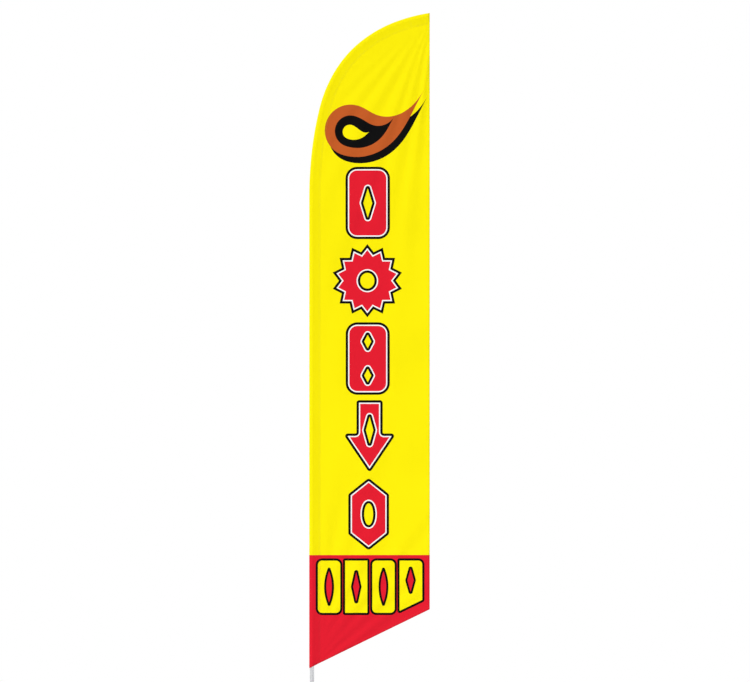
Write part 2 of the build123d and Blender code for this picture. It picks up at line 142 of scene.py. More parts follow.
class Nodes:
    """A small helper to build a material's nodes."""

    def __init__(self, name):
        self.mat = bpy.data.materials.new(name)
        self.mat.use_nodes = True
        self.nt = self.mat.node_tree
        self.nt.nodes.clear()
        self.out = self.nt.nodes.new("ShaderNodeOutputMaterial")
        self.bsdf = self.nt.nodes.new("ShaderNodeBsdfPrincipled")
        self.nt.links.new(self.bsdf.outputs[0], self.out.inputs["Surface"])
        self.coord = self.nt.nodes.new("ShaderNodeTexCoord")

    def set(self, **values):
        for key, value in values.items():
            self.bsdf.inputs[key.replace("_", " ")].default_value = value

    def link(self, a, b):
        self.nt.links.new(a, b)

    def new(self, kind, **props):
        n = self.nt.nodes.new(kind)
        for key, value in props.items():
            setattr(n, key, value)
        return n

    def mapping(self, scale=(1, 1, 1), rotation=(0, 0, 0), location=(0, 0, 0)):
        m = self.new("ShaderNodeMapping")
        m.inputs["Scale"].default_value = scale
        m.inputs["Rotation"].default_value = rotation
        m.inputs["Location"].default_value = location
        self.link(self.coord.outputs["Object"], m.inputs["Vector"])
        return m.outputs[0]

    def noise(self, vector, scale, detail=3.0, rough=0.5, distortion=0.0):
        n = self.new("ShaderNodeTexNoise")
        n.inputs["Scale"].default_value = scale
        n.inputs["Detail"].default_value = detail
        n.inputs["Roughness"].default_value = rough
        n.inputs["Distortion"].default_value = distortion
        self.link(vector, n.inputs["Vector"])
        return n.outputs["Fac"]

    def voronoi(self, vector, scale, feature="F1"):
        n = self.new("ShaderNodeTexVoronoi", feature=feature)
        n.inputs["Scale"].default_value = scale
        self.link(vector, n.inputs["Vector"])
        return n

    def wave(self, vector, scale, direction="X", distortion=0.0, profile="SIN"):
        n = self.new("ShaderNodeTexWave", wave_type="BANDS", bands_direction=direction, wave_profile=profile)
        n.inputs["Scale"].default_value = scale
        n.inputs["Distortion"].default_value = distortion
        self.link(vector, n.inputs["Vector"])
        return n.outputs["Fac"]

    def ramp(self, fac, stops):
        n = self.new("ShaderNodeValToRGB")
        el = n.color_ramp.elements
        while len(el) > len(stops):
            el.remove(el[-1])
        while len(el) < len(stops):
            el.new(0.5)
        for e, (pos, col) in zip(el, stops):
            e.position = pos
            e.color = (*col, 1.0) if len(col) == 3 else col
        self.link(fac, n.inputs["Fac"])
        return n.outputs["Color"]

    def spread(self, fac, low, high):
        n = self.new("ShaderNodeMapRange")
        n.inputs["To Min"].default_value = low
        n.inputs["To Max"].default_value = high
        self.link(fac, n.inputs["Value"])
        return n.outputs[0]

    def math(self, op, a, b):
        n = self.new("ShaderNodeMath", operation=op)
        for i, v in enumerate((a, b)):
            if isinstance(v, (int, float)):
                n.inputs[i].default_value = v
            else:
                self.link(v, n.inputs[i])
        return n.outputs[0]

    def mix(self, fac, a, b, blend="MIX"):
        n = self.new("ShaderNodeMix", data_type="RGBA", blend_type=blend)
        for sock, v in ((n.inputs[0], fac), (n.inputs[6], a), (n.inputs[7], b)):
            if isinstance(v, (int, float)):
                sock.default_value = v
            elif isinstance(v, (tuple, list)):
                sock.default_value = (*v, 1.0) if len(v) == 3 else v
            else:
                self.link(v, sock)
        return n.outputs[2]

    def bump(self, height, strength=0.3, distance=0.001, normal=None):
        n = self.new("ShaderNodeBump")
        n.inputs["Strength"].default_value = strength
        n.inputs["Distance"].default_value = distance
        self.link(height, n.inputs["Height"])
        if normal is not None:
            self.link(normal, n.inputs["Normal"])
        return n.outputs[0]

    def edges(self, width, breakup):
        """Where the surface turns sharply within width metres, broken up by a noise: corners that rub and get knocked."""
        soft = self.new("ShaderNodeBevel", samples=4)
        soft.inputs["Radius"].default_value = width
        flat = self.new("ShaderNodeNewGeometry")
        dot = self.new("ShaderNodeVectorMath", operation="DOT_PRODUCT")
        self.link(soft.outputs[0], dot.inputs[0])
        self.link(flat.outputs["Normal"], dot.inputs[1])
        turn = self.new("ShaderNodeMapRange")
        turn.inputs["From Min"].default_value = 0.992
        turn.inputs["From Max"].default_value = 0.90
        self.link(dot.outputs["Value"], turn.inputs["Value"])
        patchy = self.new("ShaderNodeMapRange")
        patchy.inputs["From Min"].default_value = 0.34
        patchy.inputs["From Max"].default_value = 0.62
        patchy.inputs["To Min"].default_value = 0.15
        self.link(breakup, patchy.inputs["Value"])
        return self.math("MULTIPLY", turn.outputs[0], patchy.outputs[0])

    def colour(self, sock):
        self.link(sock, self.bsdf.inputs["Base Color"])

    def rough(self, sock):
        self.link(sock, self.bsdf.inputs["Roughness"])

    def normal(self, sock):
        self.link(sock, self.bsdf.inputs["Normal"])


def linear(r, g, b):
    """A display colour, 0 to 255, as the linear colour a shader takes."""
    return tuple(
        (c / 255 / 12.92) if c / 255 <= 0.04045 else ((c / 255 + 0.055) / 1.055) ** 2.4
        for c in (r, g, b)
    )


def cloth_material(name, rgb, fade=0.03):
    """Warp-knitted polyester with a dye print: fine loops in columns, a faint unevenness of the dye, dull with a slight sheen."""
    n = Nodes(name)
    v = n.mapping()
    wales = n.wave(v, 1000 / 1.2 / 20 * math.pi, "X", 0.0)
    courses = n.wave(v, 1000 / 0.9 / 20 * math.pi, "Z", 0.0)
    loops = n.math("MULTIPLY", wales, courses)
    slub = n.noise(n.mapping(scale=(160, 160, 9)), 1.0, 3.0, 0.6)
    cloud = n.noise(v, 4.0, 5.0, 0.55)
    streak = n.noise(n.mapping(scale=(14, 14, 0.7)), 1.0, 3.0, 0.5)
    pale = tuple(min(1.0, c * (1 + fade * 0.4)) for c in rgb)
    deep = tuple(c * (1 - fade) for c in rgb)
    uneven = n.math("ADD", n.math("MULTIPLY", cloud, 0.6), n.math("MULTIPLY", streak, 0.4))
    dyed = n.mix(n.spread(uneven, 0.0, 1.0), deep, pale)
    # painted shade: the small gaps between the loops are painted a little darker, with the same loop pattern that makes
    # the bump
    n.colour(n.mix(n.spread(loops, 0.16, 0.0), dyed, tuple(c * 0.55 for c in rgb)))
    n.rough(n.spread(n.math("ADD", n.math("MULTIPLY", slub, 0.6), n.math("MULTIPLY", cloud, 0.4)), 0.66, 0.86))
    n.normal(n.bump(n.math("ADD", loops, n.math("MULTIPLY", slub, 1.2)), 0.26, 0.0002))
    n.set(Specular_IOR_Level=0.08)
    n.bsdf.inputs["Sheen Weight"].default_value = 0.03
    n.bsdf.inputs["Sheen Roughness"].default_value = 0.4
    return n.mat


def webbing_material(name, rgb, lengthwise="Z"):
    """Woven webbing: staggered warp floats along the strap, over the ribs of its weft, with a slight fuzz."""
    n = Nodes(name)
    v = n.mapping()
    xyz = n.new("ShaderNodeSeparateXYZ")
    n.link(v, xyz.inputs[0])
    turned = n.new("ShaderNodeCombineXYZ")
    n.link(xyz.outputs["Z" if lengthwise == "Z" else "X"], turned.inputs[0])
    n.link(xyz.outputs["X" if lengthwise == "Z" else "Z"], turned.inputs[1])
    brick = n.new("ShaderNodeTexBrick", offset=0.5, offset_frequency=2, squash=1.0)
    n.link(turned.outputs[0], brick.inputs["Vector"])
    brick.inputs["Scale"].default_value = 1.0
    brick.inputs["Brick Width"].default_value = 0.0034
    brick.inputs["Row Height"].default_value = 0.00125
    brick.inputs["Mortar Size"].default_value = 0.00022
    brick.inputs["Mortar Smooth"].default_value = 1.0
    brick.inputs["Color1"].default_value = (1, 1, 1, 1)
    brick.inputs["Color2"].default_value = (0.86, 0.86, 0.86, 1)
    brick.inputs["Mortar"].default_value = (0, 0, 0, 1)
    tone = n.new("ShaderNodeSeparateColor")
    n.link(brick.outputs["Color"], tone.inputs[0])
    fuzz = n.noise(v, 1100.0, 3.0, 0.6)
    soil = n.noise(v, 60.0, 4.0, 0.6)
    base = n.mix(n.spread(soil, 0.0, 0.6), rgb, tuple(c * 0.88 for c in rgb))
    # painted shade: the gaps between the warp floats, the brick pattern's mortar, darken the colour
    n.colour(n.mix(n.spread(tone.outputs[0], 0.55, 0.0), base, tuple(c * 0.62 for c in rgb)))
    n.rough(n.spread(fuzz, 0.70, 0.92))
    n.normal(n.bump(n.math("ADD", tone.outputs[0], n.math("MULTIPLY", fuzz, 0.35)), 0.55, 0.0003))
    n.bsdf.inputs["Sheen Weight"].default_value = 0.15
    return n.mat


def thread_material(name, rgb):
    n = Nodes(name)
    v = n.mapping()
    ply = n.wave(n.mapping(rotation=(0.0, 0.6, 0.6)), 1500.0, "DIAGONAL", 0.3)
    fuzz = n.noise(v, 1400.0, 2.0)
    # painted shade: the colour darkens along the grooves of the twist, with the same waves as the bump
    n.colour(n.mix(n.spread(ply, 0.0, 1.0), tuple(c * 0.8 for c in rgb), rgb))
    n.rough(n.spread(fuzz, 0.45, 0.7))
    n.normal(n.bump(ply, 0.4, 0.0002))
    n.bsdf.inputs["Sheen Weight"].default_value = 0.15
    return n.mat


def brushed_metal(name, rgb, rough=(0.28, 0.42), grain=(2600, 2600, 30), wear=0.12, metal=1.0, rings=False):
    """Metal with a fine grain along the part, or turning marks round it, and soft handling marks."""
    n = Nodes(name)
    v = n.mapping()
    if rings:
        streak = n.noise(n.mapping(scale=(25, 25, 3800)), 1.0, 2.0, 0.6)
    else:
        streak = n.noise(n.mapping(scale=grain), 1.0, 3.0, 0.6)
    smudge = n.noise(v, 24.0, 5.0, 0.6, 0.4)
    scratch = n.noise(n.mapping(scale=(420, 420, 9), rotation=(0.12, 0.05, 0.4)), 1.0, 5.0, 0.75)
    base = n.mix(
        n.spread(smudge, 0.1, 0.9),
        tuple(c * (1 - wear) for c in rgb),
        n.mix(n.spread(streak, 0.2, 0.8), tuple(c * 0.93 for c in rgb), rgb),
    )
    rub = n.edges(0.0007, scratch)
    n.colour(n.mix(rub, base, tuple(min(1.0, c * 1.18 + 0.03) for c in rgb)))
    n.rough(
        n.math(
            "SUBTRACT",
            n.spread(
                n.math("ADD", n.math("MULTIPLY", streak, 0.5), n.math("MULTIPLY", n.math("ADD", smudge, scratch), 0.25)),
                rough[0] - 0.08,
                rough[1] + 0.08,
            ),
            n.math("MULTIPLY", rub, 0.05),
        )
    )
    n.normal(n.bump(n.math("ADD", streak, n.math("MULTIPLY", scratch, 0.5)), 0.12, 0.0002))
    n.bsdf.inputs["Metallic"].default_value = metal
    return n.mat


def galvanised(name):
    """Hot-dip zinc: flat crystals of slightly different greys, dulled, with scuffs on the corners and soil stains low down."""
    n = Nodes(name)
    v = n.mapping()
    cells = n.voronoi(v, 130.0)
    small = n.voronoi(n.mapping(location=(3, 1, 7)), 330.0)
    cloud = n.noise(v, 30.0, 5.0, 0.6)
    scuff = n.noise(n.mapping(scale=(700, 700, 60), rotation=(0.3, 0.7, 0.2)), 1.0, 4.0, 0.7)
    grey = n.new("ShaderNodeSeparateColor")
    n.link(cells.outputs["Color"], grey.inputs[0])
    flake = n.new("ShaderNodeSeparateColor")
    n.link(small.outputs["Color"], flake.inputs[0])
    tone = n.math("ADD", n.math("MULTIPLY", grey.outputs[0], 0.6), n.math("MULTIPLY", flake.outputs[1], 0.4))
    base = n.ramp(tone, [(0.0, (0.30, 0.32, 0.34)), (0.5, (0.42, 0.44, 0.46)), (1.0, (0.58, 0.60, 0.62))])
    zinc = n.mix(n.spread(cloud, 0.0, 0.5), base, (0.38, 0.37, 0.35))
    # soil and dulled zinc on what is pushed into the ground, fading out over the plate
    low = n.new("ShaderNodeSeparateXYZ")
    n.link(v, low.inputs[0])
    depth = n.new("ShaderNodeMapRange")
    depth.inputs["From Min"].default_value = 0.006
    depth.inputs["From Max"].default_value = -0.030
    depth.inputs["To Min"].default_value = 0.0
    depth.inputs["To Max"].default_value = 0.75
    n.link(low.outputs[2], depth.inputs["Value"])
    clod = n.noise(v, 75.0, 5.0, 0.7, 0.3)
    soil = n.ramp(clod, [(0.42, (0, 0, 0)), (0.62, (1, 1, 1))])
    stain = n.new("ShaderNodeSeparateColor")
    n.link(soil, stain.inputs[0])
    rub = n.edges(0.0016, scuff)
    rubbed = n.mix(rub, zinc, (0.70, 0.71, 0.72))
    n.colour(n.mix(n.math("MULTIPLY", stain.outputs[0], depth.outputs[0]), rubbed, (0.16, 0.105, 0.062)))
    n.rough(n.spread(n.math("ADD", n.math("MULTIPLY", tone, 0.5), n.math("MULTIPLY", cloud, 0.5)), 0.34, 0.62))
    n.normal(n.bump(n.math("ADD", tone, n.math("MULTIPLY", scuff, 0.6)), 0.16, 0.0003))
    n.bsdf.inputs["Metallic"].default_value = 0.9
    return n.mat


def moulded(name, rgb, rough=(0.42, 0.6), scale=900.0, depth=0.0002):
    """Moulded plastic or rubber with a fine spark-eroded texture, paler where it has been handled."""
    n = Nodes(name)
    v = n.mapping()
    grain = n.noise(v, scale, 4.0, 0.65)
    patch = n.noise(v, 45.0, 4.0, 0.6)
    dust = n.noise(v, 260.0, 5.0, 0.7)
    worn = tuple(c + 0.018 for c in rgb)
    rub = n.edges(0.0011, dust)
    used = n.mix(n.spread(patch, 0.0, 0.8), n.mix(n.spread(dust, 0.0, 0.5), rgb, worn), rgb)
    n.colour(n.mix(n.math("MULTIPLY", rub, 0.8), used, tuple(c + 0.085 for c in rgb)))
    n.rough(
        n.math(
            "SUBTRACT",
            n.spread(n.math("ADD", n.math("MULTIPLY", grain, 0.4), n.math("MULTIPLY", patch, 0.6)), rough[0] - 0.1, rough[1] + 0.1),
            n.math("MULTIPLY", rub, 0.12),
        )
    )
    n.normal(n.bump(grain, 0.35, depth))
    return n.mat


def fibreglass(name):
    """Pultruded rod: glass strands along it in a pale resin, with a faint surface veil."""
    n = Nodes(name)
    v = n.mapping()
    strands = n.noise(n.mapping(scale=(1700, 1700, 22)), 1.0, 4.0, 0.7)
    veil = n.noise(v, 380.0, 4.0, 0.7)
    amber = n.noise(v, 9.0, 2.0)
    pale = n.mix(n.spread(amber, 0.2, 0.8), (0.80, 0.79, 0.72), (0.84, 0.83, 0.78))
    n.colour(n.mix(n.spread(strands, 0.15, 0.85), (0.66, 0.65, 0.57), pale))
    n.rough(n.spread(veil, 0.22, 0.42))
    n.normal(n.bump(n.math("ADD", strands, n.math("MULTIPLY", veil, 0.4)), 0.2, 0.00015))
    n.bsdf.inputs["Coat Weight"].default_value = 0.25
    n.bsdf.inputs["Coat Roughness"].default_value = 0.2
    return n.mat


YELLOW = linear(254, 239, 0)
RED = linear(228, 26, 46)
BROWN = linear(195, 92, 37)
BLACK = (0.0012, 0.0012, 0.0014)
WHITE = (0.95, 0.95, 0.95)

PRINT = {
    "yellow": cloth_material("print_yellow", YELLOW, 0.03),
    "red": cloth_material("print_red", RED, 0.05),
    "black": cloth_material("print_black", BLACK, 0.2),
    "white": cloth_material("print_white", WHITE, 0.03),
    "brown": cloth_material("print_brown", BROWN, 0.06),
}
PRINT_ORDER = ["yellow", "red", "black", "white", "brown"]

# ------------------------------------------------------------------ artwork, drawn in mm on the flag


def ccw(pts):
    area = sum(a[0] * b[1] - b[0] * a[1] for a, b in zip(pts, pts[1:] + pts[:1]))
    return pts if area > 0 else pts[::-1]


def rounded(pts, radii, seg=7):
    """A polygon with its corners rounded."""
    pts = ccw(list(pts))
    if isinstance(radii, (int, float)):
        radii = [radii] * len(pts)
    out = []
    for i, p in enumerate(pts):
        a, b = pts[i - 1], pts[(i + 1) % len(pts)]
        r = radii[i]
        va = Vector((a[0] - p[0], a[1] - p[1]))
        vb = Vector((b[0] - p[0], b[1] - p[1]))
        if r <= 0:
            out.append(p)
            continue
        ang = va.angle(vb)
        cut = r / math.tan(ang / 2)
        cut = min(cut, va.length * 0.499, vb.length * 0.499)
        r = cut * math.tan(ang / 2)
        va.normalize()
        vb.normalize()
        c = Vector(p) + (va + vb).normalized() * (r / math.sin(ang / 2))
        s = Vector(p) + va * cut - c
        e = Vector(p) + vb * cut - c
        a0 = math.atan2(s.y, s.x)
        a1 = math.atan2(e.y, e.x)
        sweep = (a1 - a0 + math.pi) % (2 * math.pi) - math.pi
        n = max(1, round(seg * abs(sweep) / (math.pi / 2)))
        for k in range(n + 1):
            t = a0 + sweep * k / n
            out.append((c.x + r * math.cos(t), c.y + r * math.sin(t)))
    return out


def inset(pts, d):
    """The polygon moved in by d on every side, or out when d is negative."""
    pts = ccw(list(pts))
    out = []
    for i, p in enumerate(pts):
        a, b = pts[i - 1], pts[(i + 1) % len(pts)]
        e1 = Vector((p[0] - a[0], p[1] - a[1])).normalized()
        e2 = Vector((b[0] - p[0], b[1] - p[1])).normalized()
        n1, n2 = Vector((-e1.y, e1.x)), Vector((-e2.y, e2.x))
        m = (n1 + n2) / max(0.02, 1 + n1.dot(n2))
        out.append((p[0] + m.x * d, p[1] + m.y * d))
    return out


def shape_at(shape, d):
    """The outline of (corners, radii, steps) moved in by d, with its roundings kept concentric."""
    pts, radii, seg = shape
    if isinstance(radii, (int, float)):
        radii = [radii] * len(pts)
    if ccw(list(pts)) != list(pts):
        pts, radii = list(pts)[::-1], list(radii)[::-1]
    new = []
    for i, p in enumerate(pts):
        a, b = pts[i - 1], pts[(i + 1) % len(pts)]
        convex = (p[0] - a[0]) * (b[1] - p[1]) - (p[1] - a[1]) * (b[0] - p[0]) > 0
        new.append(max(0.0, radii[i] - d) if convex else (radii[i] + d if radii[i] > 0 else 0.0))
    return rounded(inset(pts, d), new, seg)


def ellipse(cx, cz, rx, rz, n=48, turn=0.0):
    out = []
    for i in range(n):
        t = 2 * math.pi * i / n
        x, z = rx * math.cos(t), rz * math.sin(t)
        out.append((cx + x * math.cos(turn) - z * math.sin(turn), cz + x * math.sin(turn) + z * math.cos(turn)))
    return out


def diamond(cx, cz, rx, rz):
    return [(cx + rx, cz), (cx, cz + rz), (cx - rx, cz), (cx, cz - rz)]


def lens(cx, cz, rx, rz, n=14):
    """A pointed oval."""
    r = (rx * rx + rz * rz) / (2 * rx)
    half = math.asin(rz / r)
    right = [(cx + rx - r + r * math.cos(a), cz + r * math.sin(a)) for a in np.linspace(-half, half, n)]
    left = [(2 * cx - x, z) for x, z in right[::-1]][1:-1]
    return right + left


def star(cx, cz, rx, rz, dip, points):
    out = []
    for i in range(points * 2):
        t = math.pi / 2 + math.pi * i / points
        k = 1.0 if i % 2 == 0 else dip
        out.append((cx + rx * k * math.cos(t), cz + rz * k * math.sin(t)))
    return out


def box_pts(x0, x1, z0, z1):
    return [(x0, z0), (x1, z0), (x1, z1), (x0, z1)]


ART = []                # (closed outline, colour), later ones lie on top


def art(pts, colour):
    ART.append((ccw([(float(a), float(b)) for a, b in pts]), colour))


LINE_K, LINE_W = 13.0, 6.7      # widths of the black and the white line round each block


def block(shape, counters=()):
    """A red ornament with a white and a black line round it, and yellow openings lined the same way."""
    art(shape_at(shape, 0), "black")
    art(shape_at(shape, LINE_K), "white")
    art(shape_at(shape, LINE_K + LINE_W), "red")
    for c in counters:
        art(shape_at(c, -(LINE_K + LINE_W)), "white")
        art(shape_at(c, -LINE_K), "black")
        art(shape_at(c, 0), "yellow")


art([(-EDGE - 40, FOOT_TOP), (RIGHT + 40, FOOT_TOP), (RIGHT + 40, 900), (-EDGE - 40, 900)], "red")

# five upright ornaments down the middle
block(
    (box_pts(179, 417, 3290, 3677), 62, 8),
    [(diamond(298.3, 3483.3, 24, 78), 0, 6)],
)
block(
    (star(296, 3067.5, 190, 196, 0.80, 14), 0, 6),
    [(ellipse(296, 3067.5, 38, 42, 36), 0, 6)],
)
block(
    (box_pts(180, 416, 2457, 2845), 62, 8),
    [(diamond(298, 2742, 19, 36), 0, 6), (diamond(298, 2560, 19, 36), 0, 6)],
)
block(
    (
        [(238, 2428), (238, 2250), (165, 2250), (308, 2038), (451, 2250), (378, 2250), (378, 2428)],
        [14, 6, 14, 14, 14, 6, 14],
        4,
    ),
    [(diamond(308, 2268, 20, 72), 0, 6)],
)
block(
    ([(303, 2012), (194, 1925), (194, 1711), (303, 1624.5), (412, 1711), (412, 1925)], 16, 4),
    [(ellipse(303, 1818, 24, 58, 36), 0, 6)],
)

# four yellow tiles on the red footer
TILE_TOP, TILE_LOW = 1581.5, 1278.0
tiles = [
    (box_pts(19.5, 163.0, TILE_LOW, TILE_TOP), 34, 7),
    (box_pts(165.0, 308.0, TILE_LOW, TILE_TOP), 12, 4),
    (box_pts(310.5, 454.0, TILE_LOW, TILE_TOP), 34, 7),
    ([(456.5, TILE_LOW + 3), (601.8, 1351.0), (601.8, TILE_TOP), (456.5, TILE_TOP)], [12, 14, 32, 12], 5),
]
holes = [
    (lens(91.2, 1429.5, 15, 84), 0, 6),
    (diamond(236.5, 1429.5, 17, 78), 0, 6),
    (lens(382.2, 1429.5, 15, 84), 0, 6),
    (diamond(527.5, 1464.0, 17, 62), 0, 6),
]
for tile, hole in zip(tiles, holes):
    art(shape_at(tile, 0), "black")
    art(shape_at(tile, 12.0), "yellow")
    art(shape_at(hole, -11.5), "black")
    art(shape_at(hole, 0), "red")


def drop(cx, cz, r, bend, tip, power=2.3, n=34):
    """A curved drop: a round head that narrows smoothly along a bent spine to one point."""
    p0, p1, p2 = Vector((cx, cz)), Vector(bend), Vector(tip)
    up, down = [], []
    for i in range(n):
        t = i / n
        p = p0 * (1 - t) ** 2 + p1 * 2 * t * (1 - t) + p2 * t * t
        d = ((p1 - p0) * (1 - t) + (p2 - p1) * t).normalized()
        w = r * (1 - t) ** power * (1 + power * t)
        up.append((p.x - d.y * w, p.y + d.x * w))
        down.append((p.x + d.y * w, p.y - d.x * w))
    d = (p1 - p0).normalized()
    side = math.atan2(d.x, -d.y)
    back = [(cx + r * math.cos(side + math.pi * k / 24), cz + r * math.sin(side + math.pi * k / 24)) for k in range(1, 24)]
    return up, down, back


# an abstract swirl near the top: a brown curved drop, a black one and a small yellow one inside each other, with a
# black shade
up, down, back = drop(206.0, 3872.0, 138.0, (452.0, 3800.0), (604.0, 4100.0))
body = up + [(604.0, 4100.0)] + down[::-1] + back[::-1]
art([(x + 20.0, z - 34.0) for x, z in body], "black")
art(body, "brown")
up, down, back = drop(206.0, 3868.0, 84.0, (356.0, 3812.0), (440.0, 3944.0), 1.9)
art(up + [(440.0, 3944.0)] + down[::-1] + back[::-1], "black")
up, down, back = drop(202.0, 3864.0, 38.0, (268.0, 3834.0), (308.0, 3866.0), 1.9)
art(up + [(308.0, 3866.0)] + down[::-1] + back[::-1], "yellow")


# ------------------------------------------------------------------ cloth shape


def smooth(a, b, x):
    k = min(1.0, max(0.0, (x - a) / (b - a)))
    return k * k * (3 - 2 * k)


def grain(x, y, z=0.0):
    return noise.noise(Vector((x, y, z)))


# half the sleeve's thickness over the pole, by height along the pole: it follows the tubes, their bushes, the
# ferrule, the thin rod and the capped tip, and is fullest at its open foot
ROOM = [
    (0, 14.6), (1050, 14.6), (1100, 13.2), (1140, 13.2), (1160, 13.8), (1190, 13.8), (1245, 11.6), (2262, 11.4),
    (2280, 12.2), (2308, 12.2), (2365, 10.0), (3380, 9.9), (3396, 10.3), (3446, 10.3), (3530, 7.8), (4690, 7.5),
    (4750, 11.3), (9000, 11.3),
]
BUTTONS = [(0.0, 1120.0, 14.35), (0.0, 2240.0, 12.55)]      # the snap buttons push the back of the sleeve out to here


def room(t):
    z = TIP_Z + t
    for (a, ra), (b, rb) in zip(ROOM, ROOM[1:]):
        if z <= b:
            return ra + (rb - ra) * smooth(a, b, z)
    return ROOM[-1][1]


def half_width(x, z, t, depth):
    """Half the sleeve's thickness: an oval round the pole, then drawn in straight to the seam, and sewn shut at the tip."""
    if depth <= 0 or depth >= SEAM:
        return 0.0
    b = room(t)
    touch = EDGE + EDGE * EDGE / (SEAM - EDGE)
    if depth <= touch:
        h = b * math.sqrt(max(0.0, 1 - ((depth - EDGE) / EDGE) ** 2))
    else:
        k = (depth - touch) / (SEAM - touch)
        h = b * math.sqrt(1 - ((touch - EDGE) / EDGE) ** 2) * (1 - k)
        h -= 1.0 * math.sin(math.pi * k) * (1 - k)
    bend = smooth(CURVE_Z - TIP_Z - 150, CURVE_Z - TIP_Z + 150, t)
    rucks = 0.05 * bend * grain(t * 0.045, depth * 0.03, 3.7) + 0.02 * grain(t * 0.012, depth * 0.02, 1.3)
    h *= 1 + rucks * smooth(0, 12, depth)
    e = RIGHT - x
    if e < 13.0:
        h *= math.sqrt(max(0.0, 1 - (1 - max(0.0, e) / 13.0) ** 2))
    return max(0.0, h)


def gather(x, z, depth, t):
    """Small puckers that a sewing machine leaves along the seam and the hems."""
    y = 0.0
    if depth > 20:
        fade = math.exp(-abs(depth - SEAM) / 20.0)
        if fade > 0.02:
            y += 0.55 * fade * math.sin(t / 27.0 * 2 * math.pi + 2.6 * grain(t * 0.011, 4.1)) * (0.55 + 0.9 * grain(t * 0.02, 9.3))
    e = RIGHT - x
    if e < 90:
        y += 0.55 * math.exp(-e / 24.0) * math.sin(z / 33.0 * 2 * math.pi + 3.0 * grain(z * 0.009, 6.2)) * (0.6 + 0.9 * grain(z * 0.017, 2.4))
    e = (z - diag_z(x)) * 0.899
    if e < 90:
        y += 0.45 * math.exp(-e / 22.0) * math.sin(x / 30.0 * 2 * math.pi + 3.0 * grain(x * 0.012, 1.7)) * (0.6 + 0.9 * grain(x * 0.02, 8.4))
    return y


def ripple(x, z, depth, t):
    """How far the panel stands off its plane: slow swells, pull folds that fan out of its two held corners, and puckers."""
    if depth <= SEAM:
        return 0.0
    k = min(1.0, (depth - SEAM) / 569.0)
    hold = smooth(0.0, 0.30, k)
    wob = grain(x * 0.0016, z * 0.0011, 0.5)
    y = 8.5 * math.sin(2 * math.pi * (z / 1450.0 + x / 2600.0 + 0.22 * wob) + 0.6)
    y += 4.6 * math.sin(2 * math.pi * (z / 620.0 - x / 1500.0 + 0.35 * wob) + 2.1)
    y += 2.6 * grain(x * 0.0065, z * 0.0036, 2.2)
    y *= hold * (0.35 + 0.65 * k) * (0.30 + 0.70 * smooth(4350, 3300, z))
    # folds that fan out of the upper corner
    dx, dz = RIGHT + 25 - x, 4520.0 - z
    r = math.hypot(dx, dz)
    th = math.degrees(math.atan2(dx, dz))
    reach = min(1.0, r / 420.0) * math.exp(-((r - 500) / 1150.0) ** 2 if r > 500 else 0.0)
    y += 3.3 * reach * math.sin(2 * math.pi * th / 8.5 + 2.2 * grain(th * 0.12, r * 0.0012, 7.7)) * smooth(0.0, 0.10, k) * smooth(62, 30, th)
    # and out of the foot of the sleeve
    dx, dz = x + EDGE + 20, z - 960.0
    r = math.hypot(dx, dz)
    th = math.degrees(math.atan2(dx, dz))
    reach = min(1.0, r / 420.0) * math.exp(-((r - 500) / 620.0) ** 2 if r > 500 else 0.0)
    y += 2.9 * reach * math.sin(2 * math.pi * th / 9.5 + 2.0 * grain(th * 0.1, r * 0.0015, 5.1)) * smooth(0.0, 0.10, k)
    # the free edge curls a little more
    y += 2.2 * math.sin(2 * math.pi * z / 330.0 + 2.4 * grain(z * 0.003, 3.3)) * smooth(0.72, 1.0, k) * smooth(4480, 4200, z)
    return y + gather(x, z, depth, t)


def front_y(x, z):
    t, depth = locate(x, z)
    if depth < SEAM:
        return -half_width(x, z, t, depth) + gather(x, z, depth, t) * smooth(20, SEAM, depth)
    return ripple(x, z, depth, t)


def back_y(x, z):
    """The outermost cloth on the back: the sleeve's rear layer with its turned-in seam allowance, or the panel."""
    t, depth = locate(x, z)
    if depth >= SEAM + 0.01:
        return ripple(x, z, depth, t) + CLOTH_T
    end = smooth(13.0, 0.0, RIGHT - x)
    y = half_width(x, z, t, depth) + gather(x, z, depth, t) * smooth(20, SEAM, depth)
    y += 0.95 * max(smooth(30, SEAM, depth), end * smooth(0.5, 4.0, depth)) + 0.45 * smooth(49.5, 51.5, depth)
    for bx, bz, reach in BUTTONS:
        away = math.hypot((x - bx) / 10.0, (z - bz) / 15.0)
        if away < 3.2:
            y += max(0.0, reach - room(t)) * math.exp(-away * away * 0.9) * 1.04
    return y


def steps(a, b, gap):
    n = max(1, int(round(abs(b - a) / gap)))
    return [a + (b - a) * i / n for i in range(n + 1)]


def split_outline(pts, gap):
    """Closed outline with points no further apart than gap."""
    out = []
    for p, q in zip(pts, pts[1:] + pts[:1]):
        n = max(1, int(math.ceil(math.hypot(q[0] - p[0], q[1] - p[1]) / gap)))
        out += [(p[0] + (q[0] - p[0]) * i / n, p[1] + (q[1] - p[1]) * i / n) for i in range(n)]
    return out


STATIONS = steps(0.0, CURVE_Z - TIP_Z, 14.0)[:-1] + steps(CURVE_Z - TIP_Z, EDGE_LEN, 9.0)
FINE = steps(0.0, CURVE_Z - TIP_Z, 7.0)[:-1] + steps(CURVE_Z - TIP_Z, EDGE_LEN, 6.5)
CROSS = [0.25, 0.9, 2.0, 3.6, 5.8, 8.4, 11.5, 15.0, 19.0, 24.0, 30.0, 37.0]
CROSS_FINE = [44.0, 49.4, 51.6, 55.5, 60.0]
BEYOND = [62.5, 67.0, 73.0, 81.0]


